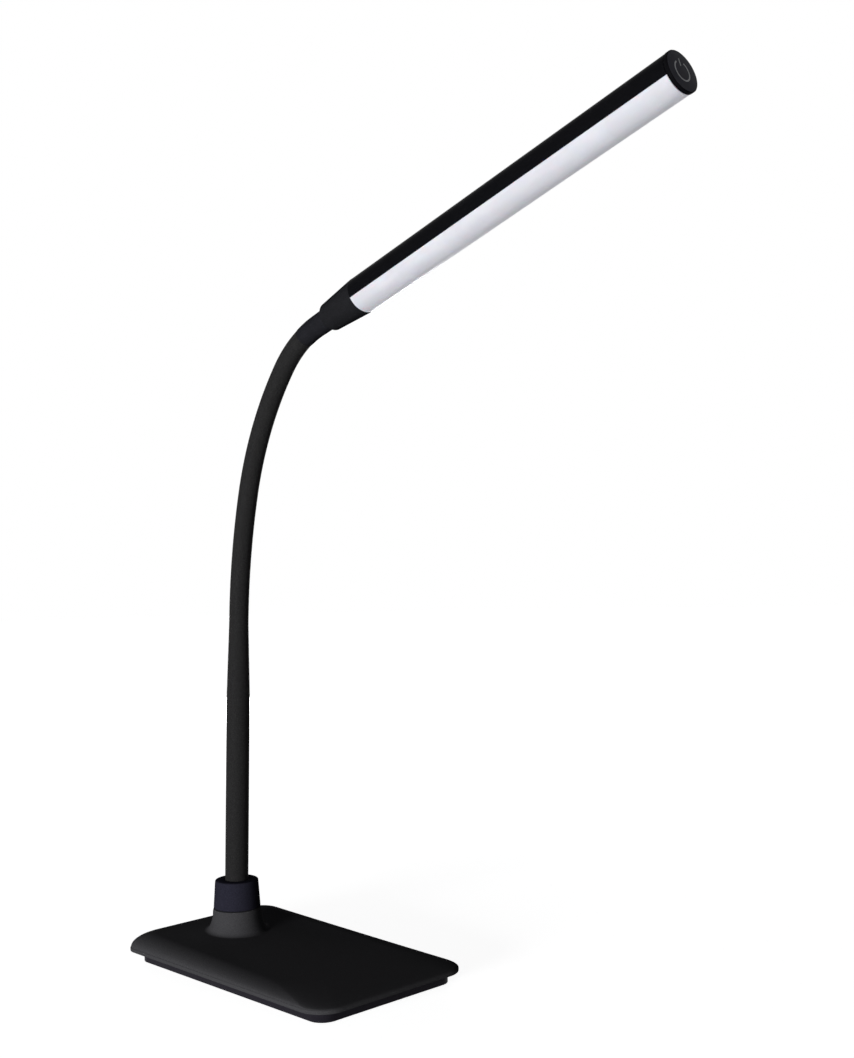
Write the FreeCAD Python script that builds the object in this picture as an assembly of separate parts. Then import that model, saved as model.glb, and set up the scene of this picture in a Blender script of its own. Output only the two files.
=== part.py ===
import FreeCAD, Part

import math
import os

# Gooseneck desk lamp, in millimetres. The origin is on the desk under the middle of the base.
# +Z is up, +X is the way the neck leans and the head reaches, +Y is the lamp's left.

V = FreeCAD.Vector

# Base: a crowned top shell standing over a narrower tray, the tray on a non-slip pad.
plinth_length = 162.7
plinth_width = 93.5
plinth_corner = 8.8
plinth_wall = 2.2
cover_floor = 2.4
cover_bottom = 0.8
pad_thickness = 1.5
pad_margin = 4.0
rim_overhang = 6.0
rim_bottom = 6.0
rim_top = 8.2
rim_edge = 0.5
rim_step = 0.4
shell_wall = 2.4
flange_thickness = 2.0
flange_ledge = 2.0
crown_height = 5.1
crown_tilt = 0.9
crown_corner_growth = 3.0
flank_side = 13.0
flank_rear = 7.0
flank_front = 30.0
crown_levels = 5
inner_crown_levels = 2

# Neck boss, at the rear of the shell.
neck_setback = 32.05
boss_top = 27.8
boss_radius = 13.7
boss_draft = 0.3
boss_flare_start = 25.5
boss_flare_radius = 20.0
boss_foot_round = 3.5
boss_shelf = 20.0
boss_cavity_radius = 10.4

# Swivel under the collar.
stud_radius = 5.0
stud_bore = 2.6
running_clearance = 0.05
bushing_wall = 2.0
bushing_flange_radius = 9.8
bushing_flange = 1.2
swivel_gap = 0.4
washer_thickness = 1.0
washer_radius = 9.2
nut_flats = 15.0
nut_height = 5.0
stud_tail = 1.5
stop_radius = 11.3
stop_width = 1.6
stop_length = 2.4
stop_height = 1.4
swivel_limit = 90.0

# Collar that covers the lower end of the neck.
collar_bottom_radius = 13.5
collar_top_radius = 12.5
collar_top = 42.0
collar_edge = 0.8
part_gap = 0.3
ferrule_flange = 2.0
ferrule_cup_radius = 7.6
ferrule_top = 38.7

# Neck path from the top of the lower ferrule: a small lean, a long straight run and three bends
# that tighten towards the head.
neck_lean = 2.4
lean_radius = 150.0
neck_straight = 146.4
bend_radii = (364.0, 178.0, 64.0)
bend_angles = (12.0, 24.7)
neck_tail = 11.3
head_rise = 18.0

# Neck build-up: lead, steel conduit, soft sleeve. The sleeve is thicker over the lower half.
lead_radius = 1.9
conduit_bore = 2.5
conduit_radius = 4.5
sleeve_gap = 0.1
sleeve_radius = 5.6
sleeve_foot_radius = 6.7
sleeve_taper_length = 42.0
cuff_length = 23.5
cuff_start_radius = 5.75
cuff_end_radius = 6.1
cuff_insert = 3.0

# Neck links: each stretch ends in a hollow cup that holds the rounded end of the next one.
first_pivot = 24.0
link_pitch = 41.0
pivot_count = 8
ball_swell = 0.25
ball_gap = 0.3

# Head: a cone, a round bar of black housing over a white diffuser, and a touch cap.
cone_length = 27.5
cone_small_radius = 8.0
cone_small_edge = 1.3
cone_large_radius = 10.15
cone_wall = 1.8
cone_end_wall = 3.0
cone_bulkhead_at = 19.0
cone_bulkhead = 2.0
lead_end = -11.0
upper_stud_radius = 5.0
upper_flange_radius = 6.2
upper_flange = 1.5
upper_nut_flats = 11.6
upper_nut_height = 4.0
upper_stud_tail = 1.2
bar_radius = 10.0
bar_length = 211.6
housing_wall = 1.3
housing_half_angle = 104.0
web_bottom = 1.5
web_thickness = 1.2
port_height = 6.3
port_radius = 2.0
port_bore = 1.1
port_rib = 1.2
cone_screw_head = 1.6
cone_screw_head_height = 1.4
cone_screw_seat = -5.0
diffuser_wall = 1.4
diffuser_seam = 0.4
diffuser_leg = 1.1
diffuser_leg_top = 92.0
diffuser_leg_root = 112.0
slip = 0.1
board_width = 13.6
board_thickness = 1.0
board_margin = 3.5
led_count = 26
led_length = 3.5
led_width = 2.8
led_height = 0.7
led_margin = 10.0
board_screw_count = 3
board_screw_radius = 1.0
board_screw_head = 1.7
board_screw_head_height = 1.0
cap_seam = 0.24
cap_thickness = 2.0
cap_radius = 10.15
cap_edge = 0.5
plug_length = 8.0
tongue_back = 5.0
touch_pocket_radius = 6.4
touch_pocket_depth = 0.5
touch_plate_thickness = 0.3
touch_board_length = 26.0
touch_board_width = 10.0
touch_board_thickness = 1.0
touch_board_gap = 3.0
touch_spring_radius = 0.8
touch_spring_y = 2.8
touch_spring_overlap = 2.0

# Inside the base.
weight_length = 106.0
weight_width = 80.0
weight_thickness = 5.2
weight_front_gap = 4.0
base_screw_radius = 1.5
base_screw_head = 2.8
base_screw_head_height = 1.6
base_screw_bite = 4.4
cover_screw_end_inset = 9.35
cover_screw_side_inset = 9.75
weight_screw_y = 25.0
weight_screw_rear_share = 0.2
weight_screw_front_share = 0.7
shell_post_radius = 3.6
post_gap = 1.0
seat_radius = 4.2
seat_height = 1.2
screw_slip = 0.05
jack_width = 7.0
jack_height = 5.6
jack_length = 9.5
jack_center_z = 9.3
jack_nose_radius = 2.6
jack_nose = 3.2
jack_socket_radius = 1.8
jack_socket_depth = 8.0
jack_pin_radius = 0.65
jack_pocket_slip = 0.25
driver_length = 26.0
driver_width = 17.0
driver_thickness = 1.2
driver_rear_gap = 4.15
driver_y = 19.0
driver_post = 1.0
driver_post_radius = 1.6
driver_post_inset = 3.0
coil_radius = 3.4
coil_height = 3.4
capacitor_radius = 2.5
capacitor_height = 4.2
chip_length = 5.0
chip_width = 4.0
chip_height = 1.5
plug_seat_length = 5.5
plug_seat_width = 6.0
plug_seat_height = 4.0
base_lead_radius = 0.8
base_lead_spread = 2.0
head_lead_radius = 0.7
head_lead_spread = 0.9
head_lead_y = -3.4


def rounded_outline(x_low, x_high, width, corner, z=0.0):
    """A flat rounded rectangle from x_low to x_high, centred on y = 0, as a closed wire."""
    half = width / 2
    corners = (
        (x_high - corner, half - corner, 0),
        (x_low + corner, half - corner, 90),
        (x_low + corner, corner - half, 180),
        (x_high - corner, corner - half, 270),
    )
    edges = []
    previous = None
    for cx, cy, start in corners:
        arc = Part.makeCircle(corner, V(cx, cy, z), V(0, 0, 1), start, start + 90)
        first, last = arc.valueAt(arc.FirstParameter), arc.valueAt(arc.LastParameter)
        if previous is not None:
            edges.append(Part.makeLine(previous, first))
        edges.append(arc)
        previous = last
    opening = edges[0].valueAt(edges[0].FirstParameter)
    edges.append(Part.makeLine(previous, opening))
    return Part.Wire(edges)


def slab(x_low, x_high, width, corner, z_low, z_high):
    face = Part.Face(rounded_outline(x_low, x_high, width, corner, z_low))
    return face.extrude(V(0, 0, z_high - z_low))


def box(x_low, x_high, y_low, y_high, z_low, z_high):
    return Part.makeBox(x_high - x_low, y_high - y_low, z_high - z_low, V(x_low, y_low, z_low))


def rod(radius, x, y, z_low, z_high):
    return Part.makeCylinder(radius, z_high - z_low, V(x, y, z_low))


def bar(radius, x_low, x_high, y=0.0, z=0.0):
    """A round bar along X."""
    return Part.makeCylinder(radius, x_high - x_low, V(x_low, y, z), V(1, 0, 0))


def turned(points, axis_x=0.0):
    """A solid turned about the vertical line at axis_x, from (radius, height) corners."""
    corners = [V(axis_x + r, 0, z) for r, z in points]
    face = Part.Face(Part.makePolygon(corners + corners[:1]))
    return face.revolve(V(axis_x, 0, 0), V(0, 0, 1), 360)


def hexagon(flats, height, base, direction):
    """A six-sided prism with the given distance across its flats."""
    corner = flats / math.sqrt(3)
    ring = [V(corner * math.cos(a), corner * math.sin(a), 0) for a in
            (math.radians(60 * i) for i in range(6))]
    prism = Part.Face(Part.makePolygon(ring + ring[:1])).extrude(V(0, 0, height))
    prism.Placement = FreeCAD.Placement(base, FreeCAD.Rotation(V(0, 0, 1), direction))
    return prism


def fused(first, *others):
    return first.multiFuse(list(others)).removeSplitter()


def group(solids):
    return Part.makeCompound(solids)


# Base

rim_length = plinth_length + 2 * rim_overhang
rim_width = plinth_width + 2 * rim_overhang
rim_corner = plinth_corner + rim_overhang
rear_x = -rim_length / 2
front_x = rim_length / 2
neck_x = neck_setback - plinth_length / 2
cover_inside = cover_bottom + cover_floor
seat_top = cover_inside + seat_height


def crown_wire(turn, inset, drop):
    """One level of the crown: turn is 0 at the rim, where the flank is upright, and 90 at the
    plateau, where it is level. The inside of the shell is drawn in by inset and lower by drop."""
    drawn_in = 1 - math.cos(math.radians(turn))
    raised = math.sin(math.radians(turn))
    wire = rounded_outline(
        rear_x + rim_step + inset + flank_rear * drawn_in,
        front_x - rim_step - inset - flank_front * drawn_in,
        rim_width - 2 * (rim_step + inset + flank_side * drawn_in),
        rim_corner - rim_step - inset + crown_corner_growth * drawn_in,
    )
    wire.rotate(V(0, 0, 0), V(0, 1, 0), crown_tilt * raised)
    wire.translate(V(0, 0, rim_top + (crown_height - drop) * raised))
    return wire


def crown(inset, drop, levels):
    turns = [90 * level / levels for level in range(levels + 1)]
    return Part.makeLoft([crown_wire(turn, inset, drop) for turn in turns], True, True)


def plateau_height(x):
    """Height of the sloping top at a place along the lamp, before its front edge falls away."""
    return rim_top + crown_height - x * math.tan(math.radians(crown_tilt))


def ceiling_height(x):
    return plateau_height(x) - shell_wall


def cover_screw_places():
    x = plinth_length / 2 - cover_screw_end_inset
    y = plinth_width / 2 - cover_screw_side_inset
    return [(end * x, side * y) for end in (-1, 1) for side in (-1, 1)]


weight_front = plinth_length / 2 - plinth_wall - weight_front_gap
weight_rear = weight_front - weight_length
weight_top = cover_inside + weight_thickness
weight_screw_places = [(weight_rear + weight_length * share, side * weight_screw_y)
                       for share in (weight_screw_rear_share, weight_screw_front_share)
                       for side in (-1, 1)]


def boss_outside():
    """The upright boss with its concave flare into the plateau, as a turned solid."""
    side = boss_radius + boss_draft
    foot_z = plateau_height(neck_x) - shell_wall
    centre_r = side + boss_flare_radius
    drop = boss_flare_start - foot_z
    foot_r = centre_r - math.sqrt(boss_flare_radius ** 2 - drop ** 2)
    middle = math.asin(drop / boss_flare_radius) / 2
    bend = V(neck_x + centre_r - boss_flare_radius * math.cos(middle), 0,
             boss_flare_start - boss_flare_radius * math.sin(middle))
    top = V(neck_x + boss_radius, 0, boss_top)
    start = V(neck_x + side, 0, boss_flare_start)
    foot = V(neck_x + foot_r, 0, foot_z)
    outline = Part.Wire([
        Part.makeLine(V(neck_x, 0, boss_top), top),
        Part.makeLine(top, start),
        Part.Arc(start, bend, foot).toShape(),
        Part.makeLine(foot, V(neck_x, 0, foot_z)),
        Part.makeLine(V(neck_x, 0, foot_z), V(neck_x, 0, boss_top)),
    ])
    return Part.Face(outline).revolve(V(neck_x, 0, 0), V(0, 0, 1), 360)


def stop_peg():
    """The peg on top of the boss that a groove in the collar runs along, on the rear side."""
    middle = neck_x - stop_radius
    return box(middle - stop_width / 2, middle + stop_width / 2, -stop_length / 2,
               stop_length / 2, boss_top - shell_wall, boss_top + stop_height)


def base_shell():
    """Moulded top shell: rim lip, crowned top, open underside, neck boss and screw posts."""
    lip = slab(rear_x, front_x, rim_width, rim_corner, rim_bottom, rim_top)
    lip = lip.makeFillet(rim_edge, [e for e in lip.Edges if is_level(e)])
    shell = fused(lip, crown(0.0, 0.0, crown_levels), boss_outside())
    shell = shell.makeFillet(boss_foot_round, [e for e in shell.Edges if is_boss_foot(e)])

    inset = shell_wall
    recess = slab(rear_x + inset, front_x - inset, rim_width - 2 * inset, rim_corner - inset,
                  rim_bottom - 1, rim_bottom + flange_thickness)
    shell = shell.cut(recess)
    inner = inset + flange_ledge
    well = slab(rear_x + inner, front_x - inner, rim_width - 2 * inner, rim_corner - inner,
                rim_bottom, rim_top)
    shell = shell.cut(well).cut(crown(inner - rim_step, shell_wall, inner_crown_levels))

    posts = [rod(shell_post_radius, x, y, seat_top, ceiling_height(x) + 1)
             for x, y in cover_screw_places()]
    posts += [rod(shell_post_radius, x, y, weight_top, ceiling_height(x) + 1)
              for x, y in weight_screw_places]
    core = rod(boss_cavity_radius + shell_wall, neck_x, 0, plateau_height(neck_x) - shell_wall - 1,
               boss_shelf)
    shell = fused(shell, core, stop_peg(), *posts)

    shell = shell.cut(rod(boss_cavity_radius, neck_x, 0, cover_inside, boss_shelf))
    bushing_bore = stud_radius + running_clearance + bushing_wall + screw_slip
    shell = shell.cut(rod(bushing_bore, neck_x, 0, boss_shelf - 1, boss_top + 1))
    for x, y in cover_screw_places():
        shell = shell.cut(rod(base_screw_radius + screw_slip, x, y, seat_top - 1,
                              seat_top + base_screw_bite + 0.5))
    for x, y in weight_screw_places:
        top = weight_top + base_screw_bite / 2 + 0.3
        shell = shell.cut(rod(base_screw_radius + screw_slip, x, y, weight_top - 1, top))
    return shell.cut(jack_room())


def is_level(edge):
    return edge.BoundBox.ZLength < 1e-6


def is_boss_foot(edge):
    """Whether an edge runs round the neck, wider than the boss, on the sloping top."""
    return all(
        boss_radius + boss_draft < math.hypot(p.x - neck_x, p.y) < neck_setback
        and abs(p.z - plateau_height(p.x)) < 0.01 for p in edge.discretize(5))


jack_face_x = rear_x + 1.6
jack_back_x = jack_face_x + jack_nose


def jack_block(grow):
    """The square body of the power inlet, grown by a clearance where it is cut out of another."""
    return box(jack_back_x - grow, jack_back_x + jack_length - jack_nose + grow,
               -jack_width / 2 - grow, jack_width / 2 + grow,
               jack_center_z - jack_height / 2 - grow, jack_center_z + jack_height / 2 + grow)


def jack_room():
    """The space that the inlet and the plug's way to it take out of the shell and the tray."""
    nose = bar(jack_nose_radius + jack_pocket_slip, rear_x - 1, jack_back_x + 1, 0, jack_center_z)
    return fused(jack_block(jack_pocket_slip), nose)


def dc_jack():
    """Round-nosed power inlet set into the rear of the shell."""
    body = fused(jack_block(0.0), bar(jack_nose_radius, jack_face_x, jack_back_x + 1, 0,
                                      jack_center_z))
    socket = bar(jack_socket_radius, jack_face_x - 1, jack_face_x + jack_socket_depth, 0,
                 jack_center_z)
    return body.cut(socket)


def jack_pin():
    return bar(jack_pin_radius, jack_face_x + 1.0, jack_face_x + jack_socket_depth, 0,
               jack_center_z)


def base_cover():
    """Tray that closes the shell from below; its upright edge is the narrow plinth."""
    half = plinth_length / 2
    outside = slab(-half, half, plinth_width, plinth_corner, cover_bottom, rim_bottom + slip)
    inset = shell_wall + slip
    flange = slab(rear_x + inset, front_x - inset, rim_width - 2 * inset, rim_corner - inset,
                  rim_bottom + slip, rim_bottom + flange_thickness)
    tray = fused(outside, flange)
    wall = plinth_wall
    tray = tray.cut(slab(wall - half, half - wall, plinth_width - 2 * wall, plinth_corner - wall,
                         cover_inside, rim_bottom + flange_thickness + 1))
    margin = pad_margin
    tray = tray.cut(slab(margin - half, half - margin, plinth_width - 2 * margin,
                         plinth_corner - margin / 2, cover_bottom - 1, pad_thickness))
    seats = [rod(seat_radius, x, y, cover_inside - 0.5, seat_top)
             for x, y in cover_screw_places()]
    stands = [rod(driver_post_radius, x, y, cover_inside - 0.5, driver_bottom)
              for x, y in driver_posts()]
    tray = fused(tray, *seats, *stands)
    for x, y in cover_screw_places():
        tray = tray.cut(rod(base_screw_radius + screw_slip, x, y, 0, seat_top + 1))
        tray = tray.cut(rod(base_screw_head + screw_slip, x, y, 0,
                            pad_thickness + base_screw_head_height))
    return tray.cut(jack_room())


def base_pad():
    half = plinth_length / 2
    gap = pad_margin + slip
    return slab(gap - half, half - gap, plinth_width - 2 * gap, plinth_corner - pad_margin / 2,
                0, pad_thickness)


def pan_screw(radius, head_radius, head_height, x, y, head_bottom, tip):
    """Upright pan-head screw, head down."""
    shank = rod(radius, x, y, head_bottom + head_height / 2, tip)
    head = rod(head_radius, x, y, head_bottom, head_bottom + head_height)
    return fused(shank, head)


def cover_screws():
    return group([
        pan_screw(base_screw_radius, base_screw_head, base_screw_head_height, x, y,
                  pad_thickness, seat_top + base_screw_bite)
        for x, y in cover_screw_places()])


def counterweight():
    """Steel plate that keeps the lamp standing, notched round the cover's screw posts."""
    plate = box(weight_rear, weight_front, -weight_width / 2, weight_width / 2, cover_inside,
                weight_top)
    for x, y in cover_screw_places():
        plate = plate.cut(rod(shell_post_radius + post_gap, x, y, cover_inside - 1,
                              weight_top + 1))
    for x, y in weight_screw_places:
        plate = plate.cut(rod(base_screw_radius + screw_slip, x, y, cover_inside - 1,
                              weight_top + 1))
        plate = plate.cut(rod(base_screw_head + screw_slip, x, y, cover_inside - 1,
                              cover_inside + base_screw_head_height))
    return plate


def counterweight_screws():
    return group([
        pan_screw(base_screw_radius, base_screw_head, base_screw_head_height, x, y,
                  cover_inside, weight_top + base_screw_bite / 2)
        for x, y in weight_screw_places])


def driver_posts():
    dx = driver_length / 2 - driver_post_inset
    dy = driver_width / 2 - driver_post_inset
    return [(driver_x + sx * dx, driver_y + sy * dy) for sx in (-1, 1) for sy in (-1, 1)]


driver_x = plinth_wall - plinth_length / 2 + driver_rear_gap + driver_length / 2
driver_bottom = cover_inside + driver_post
driver_top = driver_bottom + driver_thickness
plug_seat_x = driver_x + driver_length / 2 - 1.5 - plug_seat_length
plug_seat_y = driver_y - driver_width / 2 + 2.0


def driver_board():
    return box(driver_x - driver_length / 2, driver_x + driver_length / 2,
               driver_y - driver_width / 2, driver_y + driver_width / 2, driver_bottom,
               driver_top)


def driver_parts():
    """Coil, capacitor, chip and plug-in connector of the dimming driver."""
    coil = rod(coil_radius, driver_x - driver_length / 4, driver_y + 2, driver_top,
               driver_top + coil_height)
    capacitor = rod(capacitor_radius, driver_x + 1.5, driver_y + driver_width / 4, driver_top,
                    driver_top + capacitor_height)
    chip_x, chip_y = driver_x - 2, driver_y - 4.5
    chip = box(chip_x, chip_x + chip_length, chip_y, chip_y + chip_width, driver_top,
               driver_top + chip_height)
    plug = box(plug_seat_x, plug_seat_x + plug_seat_length, plug_seat_y,
               plug_seat_y + plug_seat_width, driver_top, driver_top + plug_seat_height)
    return group([coil, capacitor, chip, plug])


def wire(radius, points):
    """A round lead in straight runs from point to point, with rounded elbows."""
    corners = [V(*p) for p in points]
    runs = [Part.makeCylinder(radius, (b - a).Length, a, b - a)
            for a, b in zip(corners, corners[1:])]
    elbows = [Part.makeSphere(radius, corner) for corner in corners[1:-1]]
    return fused(*runs, *elbows)


def base_leads():
    """Two leads from the inlet to the driver board and one from its plug to the hollow stud."""
    inlet_x = jack_back_x + jack_length - jack_nose + slip
    board_z = driver_top + base_lead_radius + slip
    edge_y = plug_seat_y
    leads = []
    for side in (-1, 1):
        y = side * base_lead_spread
        turn_x = inlet_x + 3.5 - side * 1.5
        leads.append(wire(base_lead_radius, [
            (inlet_x, y, jack_center_z), (turn_x, y, jack_center_z),
            (turn_x, edge_y - 3.0, board_z), (turn_x, edge_y, board_z)]))
    plug_x = plug_seat_x + 3.0
    plug_y = plug_seat_y - slip
    plug_z = driver_top + plug_seat_height / 2
    leads.append(wire(base_lead_radius, [
        (plug_x, plug_y, plug_z), (plug_x, plug_y - 4.0, plug_z),
        (neck_x, 0.0, driver_top + 3.5), (neck_x, 0.0, stud_end - part_gap)]))
    return group(leads)


# Swivel

stud_end = boss_shelf - washer_thickness - nut_height - stud_tail


def swivel_bushing():
    """Slippery plastic bushing pressed into the boss; its flange carries the neck."""
    bore = stud_radius + running_clearance
    outside = bore + bushing_wall
    flange_top = boss_top + bushing_flange
    return turned([(bore, boss_shelf), (outside, boss_shelf), (outside, boss_top),
                   (bushing_flange_radius, boss_top), (bushing_flange_radius, flange_top),
                   (bore, flange_top)], neck_x)


flange_seat = boss_top + bushing_flange


def lower_ferrule():
    """Steel end fitting of the conduit: a cup and flange above a long hollow threaded stud."""
    cup_bore = conduit_radius + running_clearance
    cup_floor = flange_seat + ferrule_flange
    return turned([(stud_bore, stud_end), (stud_radius, stud_end), (stud_radius, flange_seat),
                   (bushing_flange_radius, flange_seat), (bushing_flange_radius, cup_floor),
                   (ferrule_cup_radius, cup_floor), (ferrule_cup_radius, ferrule_top),
                   (cup_bore, ferrule_top), (cup_bore, cup_floor), (stud_bore, cup_floor)],
                  neck_x)


def swivel_washer():
    hole = stud_radius + running_clearance
    bottom = boss_shelf - washer_thickness
    return turned([(hole, bottom), (washer_radius, bottom), (washer_radius, boss_shelf),
                   (hole, boss_shelf)], neck_x)


def swivel_nut():
    bottom = boss_shelf - washer_thickness - nut_height
    nut = hexagon(nut_flats, nut_height, V(neck_x, 0, bottom), V(0, 0, 1))
    return nut.cut(rod(stud_radius + running_clearance, neck_x, 0, bottom - 1, boss_shelf))


def neck_collar():
    """Tapered collar that turns with the neck, with the stop groove in its underside."""
    bottom = boss_top + swivel_gap
    outside = turned([(0, bottom), (collar_bottom_radius, bottom),
                      (collar_top_radius, collar_top), (0, collar_top)], neck_x)
    top_edges = [e for e in outside.Edges if is_level(e) and e.BoundBox.ZMax > collar_top - 0.01]
    collar = outside.makeFillet(collar_edge, top_edges)
    mouth = sleeve_foot_radius + part_gap
    hollow = turned([(0, bottom - 1), (bushing_flange_radius + part_gap, bottom - 1),
                     (bushing_flange_radius + part_gap, flange_seat + ferrule_flange),
                     (ferrule_cup_radius + part_gap, flange_seat + ferrule_flange),
                     (ferrule_cup_radius + part_gap, ferrule_top), (mouth, ferrule_top),
                     (mouth, collar_top + 1), (0, collar_top + 1)], neck_x)
    collar = collar.cut(hollow)
    groove_edge = stop_radius + stop_width / 2 + part_gap
    groove_top = boss_top + stop_height + swivel_gap
    groove = turned([(bushing_flange_radius, bottom - 1), (groove_edge, bottom - 1),
                     (groove_edge, groove_top), (bushing_flange_radius, groove_top)], neck_x)
    peg_reach = (stop_length / 2 + part_gap) / (stop_radius - stop_width / 2)
    spare = math.degrees(math.asin(peg_reach))
    return collar.cut(groove.cut(stop_sector(360 - 2 * swivel_limit - 2 * spare)))


def stop_sector(angle):
    """The part of the ring in front of the neck that stays solid and meets the peg at the stops."""
    reach = 2 * collar_bottom_radius
    half = math.radians(angle / 2)
    wedge = Part.makePolygon([
        V(neck_x, 0, boss_top - 1),
        V(neck_x + reach * math.cos(half), -reach * math.sin(half), boss_top - 1),
        V(neck_x + 2 * reach, -reach * math.sin(half), boss_top - 1),
        V(neck_x + 2 * reach, reach * math.sin(half), boss_top - 1),
        V(neck_x + reach * math.cos(half), reach * math.sin(half), boss_top - 1),
        V(neck_x, 0, boss_top - 1)])
    return Part.Face(wedge).extrude(V(0, 0, stop_height + 4))


# Neck

last_bend = 90 - head_rise - neck_lean - sum(bend_angles)


def neck_runs():
    """The path as (length, radius, angle) runs; a straight run has no radius."""
    runs = [(lean_radius * math.radians(neck_lean), lean_radius, neck_lean),
            (neck_straight, None, 0.0)]
    for radius, angle in zip(bend_radii, (*bend_angles, last_bend)):
        runs.append((radius * math.radians(angle), radius, angle))
    runs.append((neck_tail, None, 0.0))
    return runs


neck_length = sum(length for length, radius, angle in neck_runs())
sleeve_length = neck_length - cuff_length
taper_end = neck_runs()[0][0] + neck_straight


def along(tilt):
    """The path's direction where it leans by tilt degrees from upright."""
    return V(math.sin(math.radians(tilt)), 0, math.cos(math.radians(tilt)))


def neck_at(distance):
    """The point and the lean of the path at a distance from the top of the lower ferrule. Before
    the start it goes straight down, and past the end straight on."""
    point, tilt = V(neck_x, 0, ferrule_top), 0.0
    if distance < 0:
        return point + along(0) * distance, tilt
    for length, radius, angle in neck_runs():
        step = min(length, distance)
        point, tilt = advanced(point, tilt, step, radius)
        distance -= step
        if distance <= 0:
            return point, tilt
    return point + along(tilt) * distance, tilt


def advanced(point, tilt, step, radius):
    if radius is None:
        return point + along(tilt) * step, tilt
    turned_by = math.degrees(step / radius)
    chord = 2 * radius * math.sin(math.radians(turned_by / 2))
    return point + along(tilt + turned_by / 2) * chord, tilt + turned_by


def run_ends():
    """Distances at which the path passes from one run to the next."""
    ends, total = [0.0], 0.0
    for length, radius, angle in neck_runs():
        total += length
        ends.append(total)
    return ends


def tube_run(start, end, radius_at):
    """A solid round bar along the path. Straight runs may taper, bends have one radius."""
    marks = [start, end] + [m for m in run_ends() + [taper_end - sleeve_taper_length]
                            if start < m < end]
    marks.sort()
    pieces = []
    for low, high in zip(marks, marks[1:]):
        here, tilt = neck_at(low)
        there, tilt_there = neck_at(high)
        r_low, r_high = radius_at(low), radius_at(high)
        if abs(tilt_there - tilt) < 1e-6:
            height = (there - here).Length
            if abs(r_low - r_high) < 1e-6:
                pieces.append(Part.makeCylinder(r_low, height, here, along(tilt)))
            else:
                pieces.append(Part.makeCone(r_low, r_high, height, here, along(tilt)))
        else:
            radius = (high - low) / math.radians(tilt_there - tilt)
            centre = here + V(math.cos(math.radians(tilt)), 0, -math.sin(math.radians(tilt))) * radius
            disc = Part.Face(Part.Wire(Part.makeCircle(r_low, here, along(tilt))))
            pieces.append(disc.revolve(centre, V(0, 1, 0), tilt_there - tilt))
    if len(pieces) == 1:
        return pieces[0]
    return fused(*pieces)


def sleeve_outside(distance):
    start = taper_end - sleeve_taper_length
    if distance <= start:
        return sleeve_foot_radius
    if distance >= taper_end:
        return sleeve_radius
    share = (distance - start) / sleeve_taper_length
    return sleeve_foot_radius + (sleeve_radius - sleeve_foot_radius) * share


def fixed(radius):
    return lambda distance: radius


pivots = [first_pivot + link_pitch * i for i in range(pivot_count)]


def ball(pivot, grow):
    centre, tilt = neck_at(pivot)
    return Part.makeSphere(sleeve_outside(pivot) + ball_swell + grow, centre)


def neck_stretch(link, radius_at, bore, start, end):
    """One link of a neck layer: rounded where it sits in the link below, cupped at its top."""
    low = start if link == 0 else pivots[link - 1]
    high = end if link == pivot_count else pivots[link]
    body = tube_run(low, high, radius_at)
    if link > 0:
        reach = sleeve_outside(low) + ball_swell + 1
        rounded = tube_run(low - reach, low, radius_at).common(ball(low, 0.0))
        body = fused(body, rounded)
        low -= reach
    if bore > 0:
        body = body.cut(tube_run(low - 1, high + 1, fixed(bore)))
    if link < pivot_count:
        body = body.cut(ball(high, ball_gap))
    return body


def neck_sleeve(link):
    return neck_stretch(link, sleeve_outside, conduit_radius + sleeve_gap, 0.0, sleeve_length)


conduit_end = neck_length + cone_end_wall + upper_flange + 2.0


def neck_conduit(link):
    start = flange_seat + ferrule_flange - ferrule_top
    return neck_stretch(link, fixed(conduit_radius), conduit_bore, start, conduit_end)


def neck_lead(link):
    end = neck_length + cone_length + lead_end
    return neck_stretch(link, fixed(lead_radius), 0.0, stud_end - ferrule_top, end)


def neck_cuff():
    """Flexible cuff over the top of the neck, its end pushed into the cone."""
    start = sleeve_length + slip
    length = neck_length - start

    def outside(distance):
        share = min(1.0, max(0.0, (distance - start) / length))
        return cuff_start_radius + (cuff_end_radius - cuff_start_radius) * share

    steps = 4
    sections = []
    for i in range(steps + 1):
        distance = start + length * i / steps
        point, tilt = neck_at(distance)
        sections.append(Part.Wire(Part.makeCircle(outside(distance), point, along(tilt))))
    body = Part.makeLoft(sections, True, False)
    insert = tube_run(neck_length - 0.01, neck_length + cuff_insert, fixed(cuff_end_radius))
    body = fused(body, insert)
    return body.cut(tube_run(start - 1, neck_length + cuff_insert + 1,
                             fixed(conduit_radius + sleeve_gap)))


# Head. Its pieces are made lying along +X with x = 0 at the seam of cone and bar, and then placed.

neck_end, neck_end_tilt = neck_at(neck_length)
seam_point = neck_end + along(neck_end_tilt) * cone_length
head_placement = FreeCAD.Placement(
    seam_point, FreeCAD.Rotation(V(0, 1, 0), neck_end_tilt - 90))


def placed(shape):
    shape.Placement = head_placement.multiply(shape.Placement)
    return shape


def turned_bar(points):
    """A solid turned about the X axis, from (x, radius) corners."""
    corners = [V(x, 0, r) for x, r in points]
    face = Part.Face(Part.makePolygon(corners + corners[:1]))
    return face.revolve(V(0, 0, 0), V(1, 0, 0), 360)


def cone_radius(x):
    share = (x + cone_length) / cone_length
    return cone_small_radius + (cone_large_radius - cone_small_radius) * share


def below_wedge(angle, length):
    """Everything under the bar's two edges, which lie at angle from the top on either side."""
    reach = 3 * bar_radius
    side = V(0, reach * math.sin(math.radians(angle)), reach * math.cos(math.radians(angle)))
    other = V(0, -side.y, side.z)
    outline = Part.makePolygon([V(-1, 0, 0), V(-1, side.y, side.z), V(-1, side.y, -reach),
                                V(-1, other.y, -reach), V(-1, other.y, other.z), V(-1, 0, 0)])
    return Part.Face(outline).extrude(V(length + 2, 0, 0))


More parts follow.
